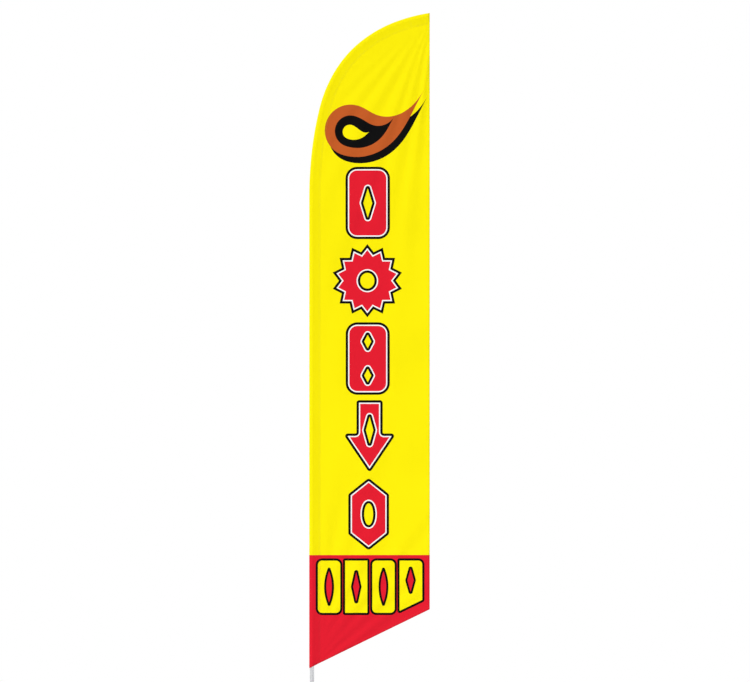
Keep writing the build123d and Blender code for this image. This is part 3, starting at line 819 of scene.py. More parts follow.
def depth_line(depth, stations=None, end=0.0):
    """Points of the line depth mm inside the outer edge, with headings, from the slanted bottom to the free edge."""
    x0 = -EDGE + depth
    pts = [(x0, diag_z(x0), math.pi / 2)]
    for t in stations or FINE:
        x, z, a = edge_at(t, depth)
        if z < diag_z(x) + 3:
            continue
        if x > RIGHT - 2.5:
            break
        pts.append((x, z, a))
    lo, hi = EDGE_LEN - 120, EDGE_LEN + 40
    for _ in range(50):
        mid = (lo + hi) / 2
        if edge_at(mid, depth)[0] < RIGHT - end:
            lo = mid
        else:
            hi = mid
    x, z, a = edge_at(lo, depth)
    while pts[-1][0] > x - 1.5:
        pts.pop()
    pts.append((RIGHT - end, z, a))
    return pts


def flat_pts(pts):
    return [(p[0], p[1]) for p in pts]


def triangulate(outline, layers, lines, points):
    """Triangles inside the outline, with the topmost layer that covers each."""
    verts, edges, faces = [], [], []

    def add(pts, closed):
        base = len(verts)
        verts.extend(Vector(p) for p in pts)
        if closed:
            faces.append(list(range(base, base + len(pts))))
        else:
            edges.extend((base + i, base + i + 1) for i in range(len(pts) - 1))

    add(ccw(outline), True)
    for pts, _ in layers:
        add(pts, True)
    for pts in lines:
        add(pts, False)
    verts.extend(Vector(p) for p in points)
    co, _, tri, _, _, of_face = delaunay_2d_cdt(verts, edges, faces, 0, 1e-4, True)
    out, tags = [], []
    for f, src in zip(tri, of_face):
        if 0 not in src:
            continue
        out.append(f)
        tags.append(max(src))
    return co, out, tags


edge_pts = [edge_at(t)[:2] for t in STATIONS]
edge_pts[-1] = (RIGHT, edge_pts[-1][1])
TOP_Z = edge_pts[-1][1]
right_pts = [(RIGHT, z) for z in steps(TOP_Z, diag_z(RIGHT), 8.0)[1:]]
diag_pts = [(x, diag_z(x)) for x in steps(RIGHT, -EDGE, 7.5)[1:-1]]
outline = edge_pts + right_pts + diag_pts
outline = outline[::-1]

lines = [flat_pts(depth_line(d, STATIONS, 1.0 if d < 0.5 else 0.0)) for d in CROSS] + [flat_pts(depth_line(d)) for d in CROSS_FINE + BEYOND]
# the sleeve's shut end and the folds of the two hems are followed by lines of their own
TAPER = [1.2, 2.8, 4.8, 7.2, 10.0, 13.0]
for e in TAPER:
    lines.append([(RIGHT - e, z) for z in steps(edge_at(EDGE_LEN - e)[1] + 0.0, TOP_Z - 66, 6.0)[1:]])
lines.append([(RIGHT - 13.2, z) for z in steps(diag_z(RIGHT - 13.2), TOP_Z - 70, 8.0)])
lines.append([(x, diag_z(x) + 14.5) for x in steps(-EDGE + 62, RIGHT - 1, 8.0)[:-1]])

points = []
row = 0
z = TIP_Z
GRID = 7.6
while z < TOP_Z:
    x = -EDGE + SEAM + 25 + (GRID / 2 if row % 2 else 0)
    col = 0
    while x < RIGHT - 3:
        keep = (row % 2 == 0 and col % 2 == (row // 2) % 2) or x > RIGHT - 60 or z < diag_z(x) + 60
        if keep and z > diag_z(x) + 4 and abs(x - (RIGHT - 13.2)) > 3 and abs(z - diag_z(x) - 14.5) > 3:
            t, depth = locate(x, z)
            if depth > BEYOND[-1] + 4:
                points.append((x, z))
        x += GRID
        col += 1
    z += GRID * 0.87
    row += 1

layers = [(split_outline(pts, 13.0), colour) for pts, colour in ART]
co, tris, tags = triangulate(outline, layers, lines, points)

bm = bmesh.new()
made = {}


def cloth_vert(x, z, side):
    key = (round(x, 3), round(z, 3), side)
    if key in made:
        return made[key]
    t, depth = locate(x, z)
    if depth < 0.05:                        # the two layers share the outer edge
        key = (round(x, 3), round(z, 3), "edge")
        if key in made:
            return made[key]
        y = 0.0
    else:
        y = front_y(x, z) if side == "front" else back_y(x, z)
    v = bm.verts.new((x * MM, y * MM, z * MM))
    made[key] = v
    return v


def put(co, tris, tags, layers, side):
    for f, tag in zip(tris, tags):
        vs = [cloth_vert(co[i].x, co[i].y, side) for i in f]
        if len(set(vs)) < 3:
            continue
        if side == "back":
            vs = vs[::-1]
        try:
            face = bm.faces.new(vs)
        except ValueError:
            continue
        colour = "yellow" if tag == 0 else layers[tag - 1][1]
        face.material_index = PRINT_ORDER.index(colour)
        face.smooth = True


put(co, tris, tags, layers, "front")

# the sleeve's back layer, from the outer edge round to the seam
seam_line = flat_pts(depth_line(SEAM))
strip = edge_pts + [(RIGHT, z) for z in steps(TOP_Z, seam_line[-1][1], 8.0)[1:-1]] + seam_line[::-1]
strip += [(x, diag_z(x)) for x in steps(-EDGE + SEAM, -EDGE, 7.5)[1:-1]]
strip = strip[::-1]
back_layers = [(split_outline(ART[0][0], 13.0), "red")]
back_lines = [flat_pts(depth_line(d, STATIONS, 1.0 if d < 0.5 else 0.0)) for d in CROSS] + [flat_pts(depth_line(d)) for d in CROSS_FINE[:-1]]
for e in TAPER:
    back_lines.append([(RIGHT - e, z) for z in steps(edge_at(EDGE_LEN - e)[1], seam_line[-1][1] - 1.0, 6.0)[1:-1]])
knobs = []
for bx, bz, _ in BUTTONS:
    for ring_r, n in ((2.5, 6), (5.5, 10), (9.0, 14), (13.0, 16)):
        knobs += [(bx + ring_r * math.cos(2 * math.pi * i / n), bz + ring_r * math.sin(2 * math.pi * i / n)) for i in range(n)]
co2, tris2, tags2 = triangulate(strip, back_layers, back_lines, knobs)
put(co2, tris2, tags2, back_layers, "back")

bmesh.ops.recalc_face_normals(bm, faces=bm.faces)
probe = min(bm.faces, key=lambda f: (f.calc_center_median() - Vector((0.3, 0, 2.5))).length)
if probe.normal.y > 0:
    bmesh.ops.reverse_faces(bm, faces=bm.faces)
mesh = bpy.data.meshes.new("flag_cloth")
bm.to_mesh(mesh)
bm.free()
flag = bpy.data.objects.new("flag_cloth", mesh)
scene.collection.objects.link(flag)
for key in PRINT_ORDER:
    mesh.materials.append(PRINT[key])


def thicken(obj, thickness):
    """Gives a cloth its thickness, on the inner side, and keeps the mesh closed."""
    mod = obj.modifiers.new("thickness", "SOLIDIFY")
    mod.thickness = thickness
    mod.offset = -1.0
    mod.use_even_offset = False
    mod.use_quality_normals = True
    bpy.context.view_layer.objects.active = obj
    for o in bpy.context.selected_objects:
        o.select_set(False)
    obj.select_set(True)
    bpy.ops.object.modifier_apply(modifier=mod.name)


thicken(flag, CLOTH_T * MM)
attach(flag, "pole")
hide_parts("flag_panel", "pole_sleeve")


# ------------------------------------------------------------------ hems and seam fold
HEM = 13.0


def slope(surface, x, z):
    """Outward (+Y) normal of a cloth surface given as y over (x, z)."""
    d = 0.6
    dx = (surface(x + d, z) - surface(x - d, z)) / (2 * d)
    dz = (surface(x, z + d) - surface(x, z - d)) / (2 * d)
    return Vector((-dx, 1.0, -dz)).normalized()


def ribbon(name, line, section, surface, facing=1.0, rise=None):
    """A folded edge: a closed section, u across from the edge and w off the cloth, carried along (x, z, inward x, z)."""
    b = bmesh.new()
    rings = []
    for i, (x, z, ix, iz) in enumerate(line):
        ring = []
        for u, w in section:
            px, pz = x + ix * max(0.0, u), z + iz * max(0.0, u)
            y = surface(px, pz)
            nrm = slope(surface, px, pz)
            over = min(0.0, u)
            up = w + (rise(z) if rise is not None else 0.0)
            p = Vector((px + ix * over, y, pz + iz * over)) + nrm * (up * facing)
            p.x = min(p.x, RIGHT + 0.75)
            ring.append(b.verts.new(p * MM))
        rings.append(ring)
    n = len(section)
    for i, (r0, r1) in enumerate(zip(rings, rings[1:])):
        for k in range(n):
            f = b.faces.new((r0[k], r0[(k + 1) % n], r1[(k + 1) % n], r1[k]))
            f.smooth = True
            f.material_index = 0 if (line[i][1] + line[i + 1][1]) / 2 > FOOT_TOP else 1
    for ring, at in ((rings[0], line[0]), (rings[-1], line[-1])):
        f = b.faces.new(ring)
        f.material_index = 0 if at[1] > FOOT_TOP else 1
    bmesh.ops.recalc_face_normals(b, faces=b.faces)
    m = bpy.data.meshes.new(name)
    b.to_mesh(m)
    b.free()
    o = bpy.data.objects.new(name, m)
    scene.collection.objects.link(o)
    m.materials.append(PRINT["yellow"])
    m.materials.append(PRINT["red"])
    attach(o, "pole")
    return o


def fold_section(width, base=0.0, top=1.0):
    """The section of a fold: a rolled edge, the allowance, and the ridge of its turned-in end."""
    return [
        (0.1, base - 0.45), (-0.35, base - 0.25), (-0.62, base + 0.15), (-0.5, base + top * 0.62),
        (0.0, base + top * 0.95), (0.9, base + top), (width * 0.35, base + top * 0.88), (width * 0.65, base + top * 0.9),
        (width - 1.6, base + top), (width - 0.6, base + top * 0.92), (width, base + top * 0.55), (width, base + 0.02),
        (width * 0.5, base + 0.02), (1.2, base - 0.1),
    ]


tilt = math.atan(DIAG_RISE / FLAG_W)
cosd, sind = math.cos(tilt), math.sin(tilt)
at_foot = [FOOT_TOP - 0.3, FOOT_TOP + 0.3]
side_zs = sorted(set([round(v, 3) for v in steps(diag_z(RIGHT) + 1.0, TOP_Z - 3.2, 8.0) if abs(v - FOOT_TOP) > 2] + at_foot))
hem_side = ribbon(
    "hem_free_edge",
    [(RIGHT, z, -1.0, 0.0) for z in side_zs],
    fold_section(HEM),
    back_y,
    rise=lambda z: 0.95 * smooth(diag_z(RIGHT) + 22, diag_z(RIGHT) + 15, z),
)
low_line = []
start = -EDGE + SEAM + 0.8
for x in [start, start + 4, start + 8, start + 12] + steps(start + 16, RIGHT - 2.0, 8.0):
    k = min(1.0, (x - start) / 16.0)        # its end is cut along the seam
    low_line.append((x, diag_z(x), -sind * k, cosd * k + (1 - k) / cosd))
hem_bottom = ribbon(
    "hem_bottom",
    low_line,
    fold_section(HEM),
    back_y,
)
# the mouth of the sleeve is turned in on both its layers
mouth_section = [(-0.2, -0.1), (-0.5, 0.3), (-0.35, 0.75), (0.2, 1.2), (1.4, 1.32), (HEM - 1.0, 1.28), (HEM - 0.1, 1.0), (HEM, 0.5), (HEM * 0.5, 0.42), (1.0, 0.42)]
mouth_front = ribbon(
    "sleeve_mouth_hem_front",
    [(x, diag_z(x), -sind, cosd) for x in steps(-EDGE + 4.5, -EDGE + SEAM, 3.5)],
    mouth_section,
    lambda x, z: front_y(x, z),
)
mouth_back = ribbon(
    "sleeve_mouth_hem_back",
    [(x, diag_z(x), -sind, cosd) for x in steps(-EDGE + 4.5, -EDGE + SEAM - 1.5, 3.5)],
    mouth_section,
    lambda x, z: back_y(x, z),
    facing=-1.0,
)
# the folded edge of the sleeve where it is sewn down on the panel
fold_line = []
for x, z, a in depth_line(SEAM, FINE, end=0.8):
    fold_line.append((x, z, -math.sin(a), math.cos(a)))


def seam_edge():
    """Rolled edge that closes the two layers of the seam allowance against the panel."""
    b = bmesh.new()
    rings = []
    for x, z, ix, iz in fold_line:
        t, _ = locate(x, z)
        y0 = gather(x, z, SEAM, t)
        ring = []
        for u, w in [(0.5, 0.30), (-0.35, 0.40), (-0.80, 0.70), (-0.86, 1.00), (-0.6, 1.28), (-0.1, 1.45), (0.8, 1.43), (0.9, 0.9)]:
            ring.append(b.verts.new(Vector((min(x + ix * u, RIGHT), y0 + w, z + iz * u)) * MM))
        rings.append(ring)
    n = len(rings[0])
    for i, (r0, r1) in enumerate(zip(rings, rings[1:])):
        for k in range(n):
            f = b.faces.new((r0[k], r0[(k + 1) % n], r1[(k + 1) % n], r1[k]))
            f.smooth = True
            f.material_index = 0 if (fold_line[i][1] + fold_line[i + 1][1]) / 2 > FOOT_TOP else 1
    b.faces.new(rings[0]).material_index = 1
    b.faces.new(rings[-1]).material_index = 0
    bmesh.ops.recalc_face_normals(b, faces=b.faces)
    m = bpy.data.meshes.new("sleeve_seam_fold")
    b.to_mesh(m)
    b.free()
    o = bpy.data.objects.new("sleeve_seam_fold", m)
    scene.collection.objects.link(o)
    m.materials.append(PRINT["yellow"])
    m.materials.append(PRINT["red"])
    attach(o, "pole")
    return o


seam_fold = seam_edge()

# ------------------------------------------------------------------ stitching


def stitch_row(b, line, surface, facing, pitch=4.6, length=3.3, width=0.6, lift=0.3, mats=None):
    """A lockstitch row: one thread that lies on the cloth for a stitch and dips into it between stitches."""
    tot = [0.0]
    for p, q in zip(line, line[1:]):
        tot.append(tot[-1] + math.hypot(q[0] - p[0], q[1] - p[1]))
    xs, zs, tt = np.array([p[0] for p in line]), np.array([p[1] for p in line]), np.array(tot)
    count = int((tot[-1] - 3) / pitch)
    rings, heights = [], []
    for i in range(count):
        s0 = 1.5 + i * pitch
        for s, h in ((s0, -0.22), (s0 + length * 0.16, 1.0), (s0 + length * 0.84, 1.0), (s0 + length, -0.22)):
            x, z = float(np.interp(s, tt, xs)), float(np.interp(s, tt, zs))
            x1, z1 = float(np.interp(s + 0.5, tt, xs)), float(np.interp(s + 0.5, tt, zs))
            along = Vector((x1 - x, 0.0, z1 - z)).normalized()
            side = along.cross(Vector((0, 1, 0))).normalized()
            c = Vector((x, surface(x, z), z))
            up = Vector((0, facing, 0))
            k = 1.0 if h > 0 else 0.7
            hw = width * 0.5 * k
            rings.append([
                b.verts.new((c - side * hw + up * (lift * (h - 0.95))) * MM),
                b.verts.new((c - side * hw * 0.55 + up * (lift * h)) * MM),
                b.verts.new((c + side * hw * 0.55 + up * (lift * h)) * MM),
                b.verts.new((c + side * hw + up * (lift * (h - 0.95))) * MM),
            ])
            heights.append(z)
    for i, (r0, r1) in enumerate(zip(rings, rings[1:])):
        for k in range(4):
            f = b.faces.new((r0[k], r0[(k + 1) % 4], r1[(k + 1) % 4], r1[k]))
            f.smooth = True
            f.material_index = 0 if mats is None and heights[i] > FOOT_TOP or mats == 0 else 1
    for ring, at in ((rings[0], heights[0]), (rings[-1], heights[-1])):
        b.faces.new(ring).material_index = 0 if mats is None and at > FOOT_TOP or mats == 0 else 1


def finish_thread(b, name, mats):
    bmesh.ops.recalc_face_normals(b, faces=b.faces)
    m = bpy.data.meshes.new(name)
    b.to_mesh(m)
    b.free()
    o = bpy.data.objects.new(name, m)
    scene.collection.objects.link(o)
    for mat in mats:
        m.materials.append(mat)
    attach(o, "pole")
    return o


b = bmesh.new()
for d in (SEAM - 2.4, SEAM - 8.2):
    seam_row = flat_pts(depth_line(d, FINE, end=2.0))[:-1]
    stitch_row(b, seam_row, front_y, -1)
    stitch_row(b, seam_row, back_y, 1)
hem_top = lambda x, z: back_y(x, z) + 0.88
side_row = [(RIGHT - HEM + 2.4, z) for z in steps(diag_z(RIGHT) + 6, TOP_Z - 4, 7)]
low_row = [(x - sind * (HEM - 2.4), diag_z(x) + cosd * (HEM - 2.4)) for x in steps(-EDGE + 7, RIGHT - 3, 7)]
stitch_row(b, side_row, front_y, -1)
stitch_row(b, side_row, lambda x, z: hem_top(x, z) + 0.95 * smooth(diag_z(RIGHT) + 22, diag_z(RIGHT) + 15, z), 1)
stitch_row(b, low_row, front_y, -1)
stitch_row(b, [p for p in low_row if p[0] > -EDGE + SEAM + 3], hem_top, 1)
stitch_row(b, [p for p in low_row if p[0] < -EDGE + SEAM - 2], back_y, 1)
# rows that hold the tip pocket's mouth, across the sleeve on both faces
for t in (EDGE_LEN - 116.0, EDGE_LEN - 110.0):
    across = [edge_at(t, d)[:2] for d in steps(4.0, 50.0, 2.0)]
    stitch_row(b, across, front_y, -1)
    stitch_row(b, across, back_y, 1)
stitching = finish_thread(
    b,
    "flag_stitching",
    [thread_material("thread_yellow", tuple(c * 0.86 for c in YELLOW)), thread_material("thread_red", tuple(c * 0.86 for c in RED))],
)

# ------------------------------------------------------------------ tension strap, on the sleeve's back
STRAP_Y, STRAP_T, STRAP_W = 15.1, 1.6, 20.0
EYE_Z, STRAP_TOP = 890.3, 1050.0
strap_half = STRAP_W / 2
strap_low = EYE_Z - 9.7


def strap_out(x, z):
    """y of the strap's outer face: flat round the eyelet and bent round the sleeve where it is sewn on."""
    hug = smooth(985, 1006, z)
    sleeve = max(back_y(x, max(z, diag_z(x) + 1.0)), 11.2) if hug > 0 else 0.0
    flat = STRAP_Y + STRAP_T - 0.05
    sag = 0.35 * math.sin((z - strap_low) / 27.0) * smooth(EYE_Z + 22, 950, z) * smooth(1000, 975, z)
    y = flat * (1 - hug) + min(flat + 0.1, sleeve + 1.5) * hug + sag
    ends = 0.05 * math.cos(x / strap_half * math.pi * 3)
    roll = 0.35 * smooth(strap_half - 1.2, strap_half, abs(x))
    return y + ends - roll


b = bmesh.new()
hole_r = 5.95
strap_rim = rounded(
    [(-strap_half, strap_low), (strap_half, strap_low), (strap_half, STRAP_TOP), (-strap_half, STRAP_TOP)],
    [4.0, 4.0, 1.0, 1.0],
    5,
)
eye = ellipse(0, EYE_Z, hole_r, hole_r, 32)
grid = [
    (x, z)
    for z in steps(strap_low + 1.5, STRAP_TOP - 1.5, 2.6)
    for x in [-9.4, -8.6, -7.2, -5.4, -3.6, -1.8, 0.0, 1.8, 3.6, 5.4, 7.2, 8.6, 9.4]
    if math.hypot(x, z - EYE_Z) > hole_r + 0.8
]
sv, sf = [Vector(p) for p in ccw(split_outline(strap_rim, 2.0))], []
sf.append(list(range(len(sv))))
base = len(sv)
sv += [Vector(p) for p in ccw(eye)]
sf.append(list(range(base, len(sv))))
sv += [Vector(p) for p in grid]
sco, _, stri, _, _, ssrc = delaunay_2d_cdt(sv, [], sf, 0, 1e-5, True)
strap_verts = [b.verts.new((p.x * MM, strap_out(p.x, p.y) * MM, p.y * MM)) for p in sco]
for f, src in zip(stri, ssrc):
    if 0 in src and 1 not in src:
        b.faces.new([strap_verts[i] for i in f]).smooth = True
for v in [v for v in b.verts if not v.link_faces]:
    b.verts.remove(v)
bmesh.ops.recalc_face_normals(b, faces=b.faces)
if sum(f.normal.y for f in b.faces) < 0:
    bmesh.ops.reverse_faces(b, faces=b.faces)
m = bpy.data.meshes.new("tension_strap_webbing")
b.to_mesh(m)
b.free()
strap = bpy.data.objects.new("tension_strap_webbing", m)
scene.collection.objects.link(strap)
WEBBING = webbing_material("white_webbing_weave", (0.82, 0.82, 0.79))
m.materials.append(WEBBING)
thicken(strap, 1.4 * MM)
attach(strap, "pole")
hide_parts("tension_strap")

# box and cross stitching that fixes the strap to the sleeve, and two bars above the eyelet
b = bmesh.new()
for row_pts in (
    [(-7.2, 1012), (-7.2, 1046), (7.2, 1046), (7.2, 1012), (-7.2, 1012)],
    [(-7.0, 1012.4), (7.0, 1045.6)],
    [(7.0, 1012.4), (-7.0, 1045.6)],
    [(-7.6, 907.0), (7.6, 907.0)],
    [(7.6, 911.5), (-7.6, 911.5)],
):
    dense = []
    for p, q in zip(row_pts, row_pts[1:]):
        n = max(2, int(math.hypot(q[0] - p[0], q[1] - p[1]) / 1.5))
        dense += [(p[0] + (q[0] - p[0]) * i / n, p[1] + (q[1] - p[1]) * i / n) for i in range(n)]
    dense.append(row_pts[-1])
    stitch_row(b, dense, strap_out, 1, pitch=2.9, length=2.1, width=0.75, lift=0.42, mats=0)
strap_thread = finish_thread(b, "strap_stitching", [thread_material("thread_red_strap", linear(196, 30, 44))])

# ------------------------------------------------------------------ tip pocket, inside the end of the sleeve


def pole_at(s):
    """Centre line of the pole at s mm from the ground along it, with its heading."""
    left = s - CURVE_Z
    for cx, cz, r, a0, a1, at in ARCS:
        rr = r - EDGE
        length = rr * (a0 - a1)
        if left <= length + 1e-6:
            a = a0 - left / rr
            return cx - rr * math.sin(a), cz + rr * math.cos(a), a
        left -= length
    cx, cz, r, a0, a1, at = ARCS[-1]
    return cx - (r - EDGE) * math.sin(a1), cz + (r - EDGE) * math.cos(a1), a1


b = bmesh.new()
rings = []
N_R = 28
POCKET = [(4692, 5.6), (4693, 6.0), (4702, 6.2), (4714, 6.3), (4726, 6.5), (4737, 7.2), (4746, 8.45), (4754, 8.6), (4762, 8.65), (4770, 8.65), (4777, 8.6), (4782, 8.45), (4785.4, 7.4), (4787.2, 4.6)]
for s, r in POCKET:
    x, z, a = pole_at(s)
    ring = []
    for k in range(N_R):
        t = 2 * math.pi * k / N_R
        rr = r * (1 + 0.006 * math.sin(7 * t + s * 0.11)) + 0.10 * (1 + grain(math.cos(t) * 2, math.sin(t) * 2, s * 0.05))
        u, v = rr * math.cos(t), rr * math.sin(t)
        ring.append(b.verts.new(((x + math.sin(a) * u) * MM, v * MM, (z - math.cos(a) * u) * MM)))
    rings.append(ring)
for r0, r1 in zip(rings, rings[1:]):
    for k in range(N_R):
        b.faces.new((r0[k], r0[(k + 1) % N_R], r1[(k + 1) % N_R], r1[k])).smooth = True
x, z, a = pole_at(4788)
apex = b.verts.new((x * MM, 0, z * MM))
for k in range(N_R):
    b.faces.new((rings[-1][k], rings[-1][(k + 1) % N_R], apex)).smooth = True
bmesh.ops.recalc_face_normals(b, faces=b.faces)
x, z, a = pole_at(4740)
near = min(b.faces, key=lambda f: (f.calc_center_median() - Vector((x * MM, 0.008, z * MM))).length)
if near.normal.y < 0:
    bmesh.ops.reverse_faces(b, faces=b.faces)
m = bpy.data.meshes.new("tip_pocket_webbing")
b.to_mesh(m)
b.free()
pocket = bpy.data.objects.new("tip_pocket_webbing", m)
scene.collection.objects.link(pocket)
m.materials.append(webbing_material("tip_pocket_weave", (0.82, 0.82, 0.79), "X"))
mod = pocket.modifiers.new("thickness", "SOLIDIFY")
mod.thickness = 0.5 * MM
mod.offset = 1.0
bpy.context.view_layer.objects.active = pocket
for o in bpy.context.selected_objects:
    o.select_set(False)
pocket.select_set(True)
bpy.ops.object.modifier_apply(modifier=mod.name)
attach(pocket, "pole")
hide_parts("tip_pocket")

# ------------------------------------------------------------------ materials for the hardware
MATS = {
    "galvanised_steel": galvanised("galvanised_steel_zinc"),
    "bright_steel": brushed_metal("bright_steel_turned", (0.60, 0.60, 0.62), (0.20, 0.34), rings=True),
    "bearing_steel": brushed_metal("bearing_steel_ground", (0.66, 0.66, 0.69), (0.10, 0.20), grain=(900, 900, 900), wear=0.05),
    "spring_steel": brushed_metal("spring_steel_dark", (0.20, 0.21, 0.24), (0.28, 0.44), grain=(600, 600, 600), wear=0.2),
    "turned_aluminium": brushed_metal("aluminium_turned", (0.78, 0.79, 0.80), (0.26, 0.38), rings=True, wear=0.08),
    "tube_aluminium": brushed_metal("aluminium_tube_satin", (0.76, 0.77, 0.79), (0.30, 0.42), grain=(2200, 2200, 14), wear=0.08),
    "fibreglass": fibreglass("fibreglass_rod"),
    "black_rubber": moulded("black_rubber_moulded", (0.020, 0.020, 0.020), (0.68, 0.86), 1500.0, 0.0002),
    "black_plastic": moulded("black_nylon_moulded", (0.030, 0.030, 0.033), (0.40, 0.56), 1100.0, 0.00015),
    "white_webbing": WEBBING,
    "brass_eyelet": brushed_metal("brass_pressed", (0.72, 0.52, 0.22), (0.18, 0.32), grain=(500, 500, 500), wear=0.18),
}
slots = {s["node"]: s["material_slot"] for s in frame["record"]["subparts"]}
for name, obj in frame["nodes"].items():
    mat = MATS.get(slots.get(name))
    if mat is None or obj.type != "MESH":
        continue
    if not obj.material_slots:
        obj.data.materials.append(mat)
    for s in obj.material_slots:
        s.link = "OBJECT"
        s.material = mat

# ------------------------------------------------------------------ leaf springs behind the snap buttons


def fillet_line(pts, r, seg=6):
    """An open line with its corners rounded."""
    out = [pts[0]]
    for a, p, b in zip(pts, pts[1:], pts[2:]):
        va, vb = Vector(a) - Vector(p), Vector(b) - Vector(p)
        ang = va.angle(vb)
        if math.pi - ang < 0.02:
            out.append(p)
            continue
        cut = r / math.tan(ang / 2)
        va.normalize()
        vb.normalize()
        c = Vector(p) + (va + vb).normalized() * (r / math.sin(ang / 2))
        s, e = Vector(p) + va * cut - c, Vector(p) + vb * cut - c
        a0 = math.atan2(s.y, s.x)
        sweep = (math.atan2(e.y, e.x) - a0 + math.pi) % (2 * math.pi) - math.pi
        out += [(c.x + r * math.cos(a0 + sweep * k / seg), c.y + r * math.sin(a0 + sweep * k / seg)) for k in range(seg + 1)]
    return out + [pts[-1]]


def leaf_spring(name, node, z, reach, back, half_w):
    """A folded strip with dressed edges, made in one fixed shape."""
    mid, t, c = (reach + back) / 2, 0.3, 0.12
    rough = [(reach, z + 7), (reach, z - 7), (mid + 1.3, z - 34), (mid - 1.3, z - 34), (back, z - 7), (back, z + 9)]
    line = []
    fine = fillet_line(rough, 1.0)
    for p, q in zip(fine, fine[1:]):
        span = math.dist(p, q)
        marks = [0.0, 0.12, 0.35, 0.7, 1.15, 1.65, 2.2] if p == fine[0] else [0.0]
        last = [span - k for k in (2.2, 1.65, 1.15, 0.7, 0.35, 0.12)] if q == fine[-1] else []
        between = [v for v in steps(0.0, span, 2.0)[1:-1] if v > marks[-1] + 0.4 and (not last or v < last[0] - 0.4)]
        line += [(p[0] + (q[0] - p[0]) * v / span, p[1] + (q[1] - p[1]) * v / span) for v in marks + between + last]
    line.append(fine[-1])
    b = bmesh.new()
    rings = []
    for i, (y, zz) in enumerate(line):
        before, after = line[max(0, i - 1)], line[min(len(line) - 1, i + 1)]
        d = Vector((after[0] - before[0], after[1] - before[1])).normalized()
        # the two legs end in rounded tongues
        left = min(math.dist(line[0], (y, zz)), math.dist(line[-1], (y, zz)))
        hw = half_w - (2.0 - math.sqrt(max(0.0, 4.0 - (2.0 - left) ** 2)) if left < 2.0 else 0.0)
        ring = []
        for x, u in ((hw, -t + c), (hw, t - c), (hw - c, t), (-hw + c, t), (-hw, t - c), (-hw, -t + c), (-hw + c, -t), (hw - c, -t)):
            ring.append(b.verts.new((x * MM, (y - d.y * u) * MM, (zz + d.x * u) * MM)))
        rings.append(ring)
    for r0, r1 in zip(rings, rings[1:]):
        for k in range(8):
            b.faces.new((r0[k], r0[(k + 1) % 8], r1[(k + 1) % 8], r1[k])).smooth = True
    b.faces.new(rings[0])
    b.faces.new(rings[-1])
    bmesh.ops.recalc_face_normals(b, faces=b.faces)
    m = bpy.data.meshes.new(name)
    b.to_mesh(m)
    b.free()
    o = bpy.data.objects.new(name, m)
    scene.collection.objects.link(o)
    m.materials.append(MATS["spring_steel"])
    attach(o, "pole")
    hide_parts(node)
    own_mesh(o)
    return o


leaf_spring("lower_spring_leaf", "lower_button_spring", 1120.0, 4.9, -6.6, 4.0)
leaf_spring("upper_spring_leaf", "upper_button_spring", 2240.0, 3.3, -5.0, 3.4)

# ------------------------------------------------------------------ floor, light, world
bpy.ops.mesh.primitive_circle_add(vertices=192, radius=11.5, fill_type="NGON", location=(0.3, 0, -0.0005))
floor = bpy.context.object
floor.name = "studio_floor"
n = Nodes("floor_pale")
xyz = n.new("ShaderNodeVectorMath", operation="LENGTH")
n.link(n.coord.outputs["Object"], xyz.inputs[0])
# painted shade round the object's base: the floor's colour is darker near the centre and pales towards the rim, where
# it fades into the white backdrop
out_m = n.new("ShaderNodeMapRange", interpolation_type="SMOOTHSTEP")
out_m.inputs["From Min"].default_value = 0.3
out_m.inputs["From Max"].default_value = 7.5
out_m.inputs["To Min"].default_value = 0.0
out_m.inputs["To Max"].default_value = 1.0
n.link(xyz.outputs["Value"], out_m.inputs["Value"])
speck = n.noise(n.mapping(), 40.0, 3.0)
painted_shade_near = n.mix(n.spread(speck, 0.0, 1.0), (0.72, 0.72, 0.72), (0.74, 0.74, 0.74))
n.colour(n.mix(out_m.outputs[0], painted_shade_near, (0.93, 0.93, 0.93)))
n.rough(n.spread(speck, 0.85, 0.95))
n.set(Specular_IOR_Level=0.2)
floor.data.materials.append(n.mat)

world = bpy.data.worlds.new("studio")
scene.world = world
world.use_nodes = True
wn = world.node_tree
wn.nodes.clear()
wout = wn.nodes.new("ShaderNodeOutputWorld")


def background(strength):
    bg = wn.nodes.new("ShaderNodeBackground")
    bg.inputs["Color"].default_value = (1, 1, 1, 1)
    bg.inputs["Strength"].default_value = strength
    return bg


seen = background(1.0)          # the white paper behind the object
soft_light = background(0.47)   # what lights it
mirror = background(1.0)        # what bare metal reflects: tall soft boxes with darker gaps, a bright ceiling
wcoord = wn.nodes.new("ShaderNodeTexCoord")
wmap = wn.nodes.new("ShaderNodeMapping")
wmap.inputs["Rotation"].default_value = (0, 0, 0.45)
grad = wn.nodes.new("ShaderNodeTexGradient")
grad.gradient_type = "RADIAL"
wn.links.new(wcoord.outputs["Generated"], wmap.inputs["Vector"])
wn.links.new(wmap.outputs[0], grad.inputs["Vector"])
around = wn.nodes.new("ShaderNodeValToRGB")
bands = [
    (0.00, 0.16), (0.05, 0.30), (0.09, 1.25), (0.17, 1.35), (0.22, 0.45), (0.30, 0.22), (0.38, 0.30),
    (0.43, 0.95), (0.52, 1.10), (0.58, 0.40), (0.66, 0.18), (0.72, 0.60), (0.76, 1.45), (0.85, 1.30), (0.90, 0.35), (1.00, 0.16),
]
el = around.color_ramp.elements
while len(el) < len(bands):
    el.new(0.5)
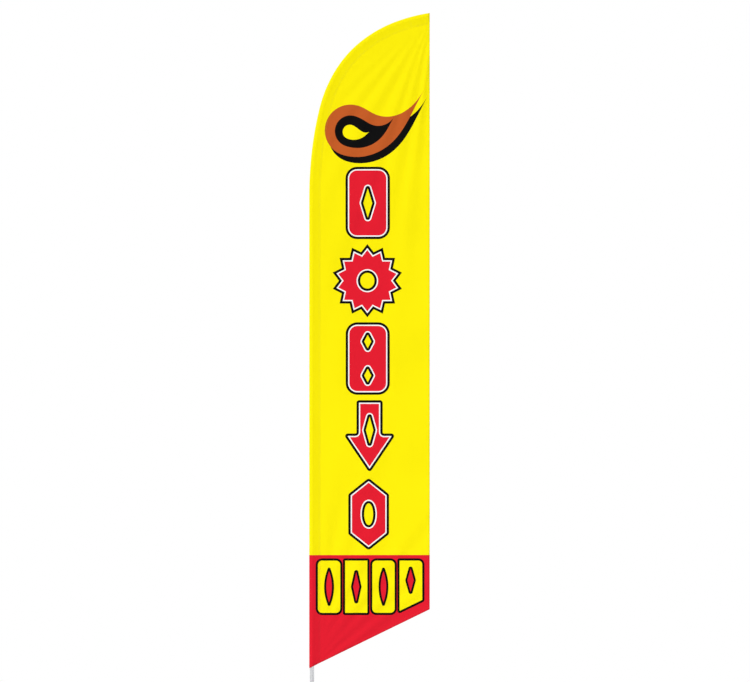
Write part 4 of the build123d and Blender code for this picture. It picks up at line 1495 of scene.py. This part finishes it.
for e, (pos, v) in zip(el, bands):
    e.position = pos
    e.color = (v, v, v, 1)
wn.links.new(grad.outputs["Fac"], around.inputs["Fac"])
updown = wn.nodes.new("ShaderNodeSeparateXYZ")
wn.links.new(wcoord.outputs["Generated"], updown.inputs[0])
ceiling = wn.nodes.new("ShaderNodeMapRange")
ceiling.interpolation_type = "SMOOTHSTEP"
ceiling.inputs["From Min"].default_value = 0.35
ceiling.inputs["From Max"].default_value = 0.85
wn.links.new(updown.outputs[2], ceiling.inputs["Value"])
over = wn.nodes.new("ShaderNodeMix")
over.data_type = "RGBA"
over.inputs[7].default_value = (1.05, 1.05, 1.05, 1)
wn.links.new(ceiling.outputs[0], over.inputs[0])
wn.links.new(around.outputs["Color"], over.inputs[6])
wn.links.new(over.outputs[2], mirror.inputs["Color"])
path = wn.nodes.new("ShaderNodeLightPath")
by_gloss = wn.nodes.new("ShaderNodeMixShader")
wn.links.new(path.outputs["Is Glossy Ray"], by_gloss.inputs[0])
wn.links.new(soft_light.outputs[0], by_gloss.inputs[1])
wn.links.new(mirror.outputs[0], by_gloss.inputs[2])
by_camera = wn.nodes.new("ShaderNodeMixShader")
wn.links.new(path.outputs["Is Camera Ray"], by_camera.inputs[0])
wn.links.new(by_gloss.outputs[0], by_camera.inputs[1])
wn.links.new(seen.outputs[0], by_camera.inputs[2])
wn.links.new(by_camera.outputs[0], wout.inputs["Surface"])


def sun(name, strength, angle, direction):
    """A soft light from a direction (towards the light)."""
    data = bpy.data.lights.new(name, "SUN")
    data.energy = strength
    data.angle = math.radians(angle)
    o = bpy.data.objects.new(name, data)
    scene.collection.objects.link(o)
    o.rotation_euler = Vector(direction).to_track_quat("Z", "Y").to_euler()
    return o


sun("key_soft", 1.89, 34, (-0.80, -1.0, 0.85))
sun("fill_soft", 0.28, 60, (0.9, -0.7, 0.5))
sun("back_soft", 1.5, 50, (0.55, 1.0, 0.8))

scene.view_settings.view_transform = "Standard"
scene.view_settings.look = "None"
scene.view_settings.exposure = 0.0
scene.view_settings.gamma = 1.0
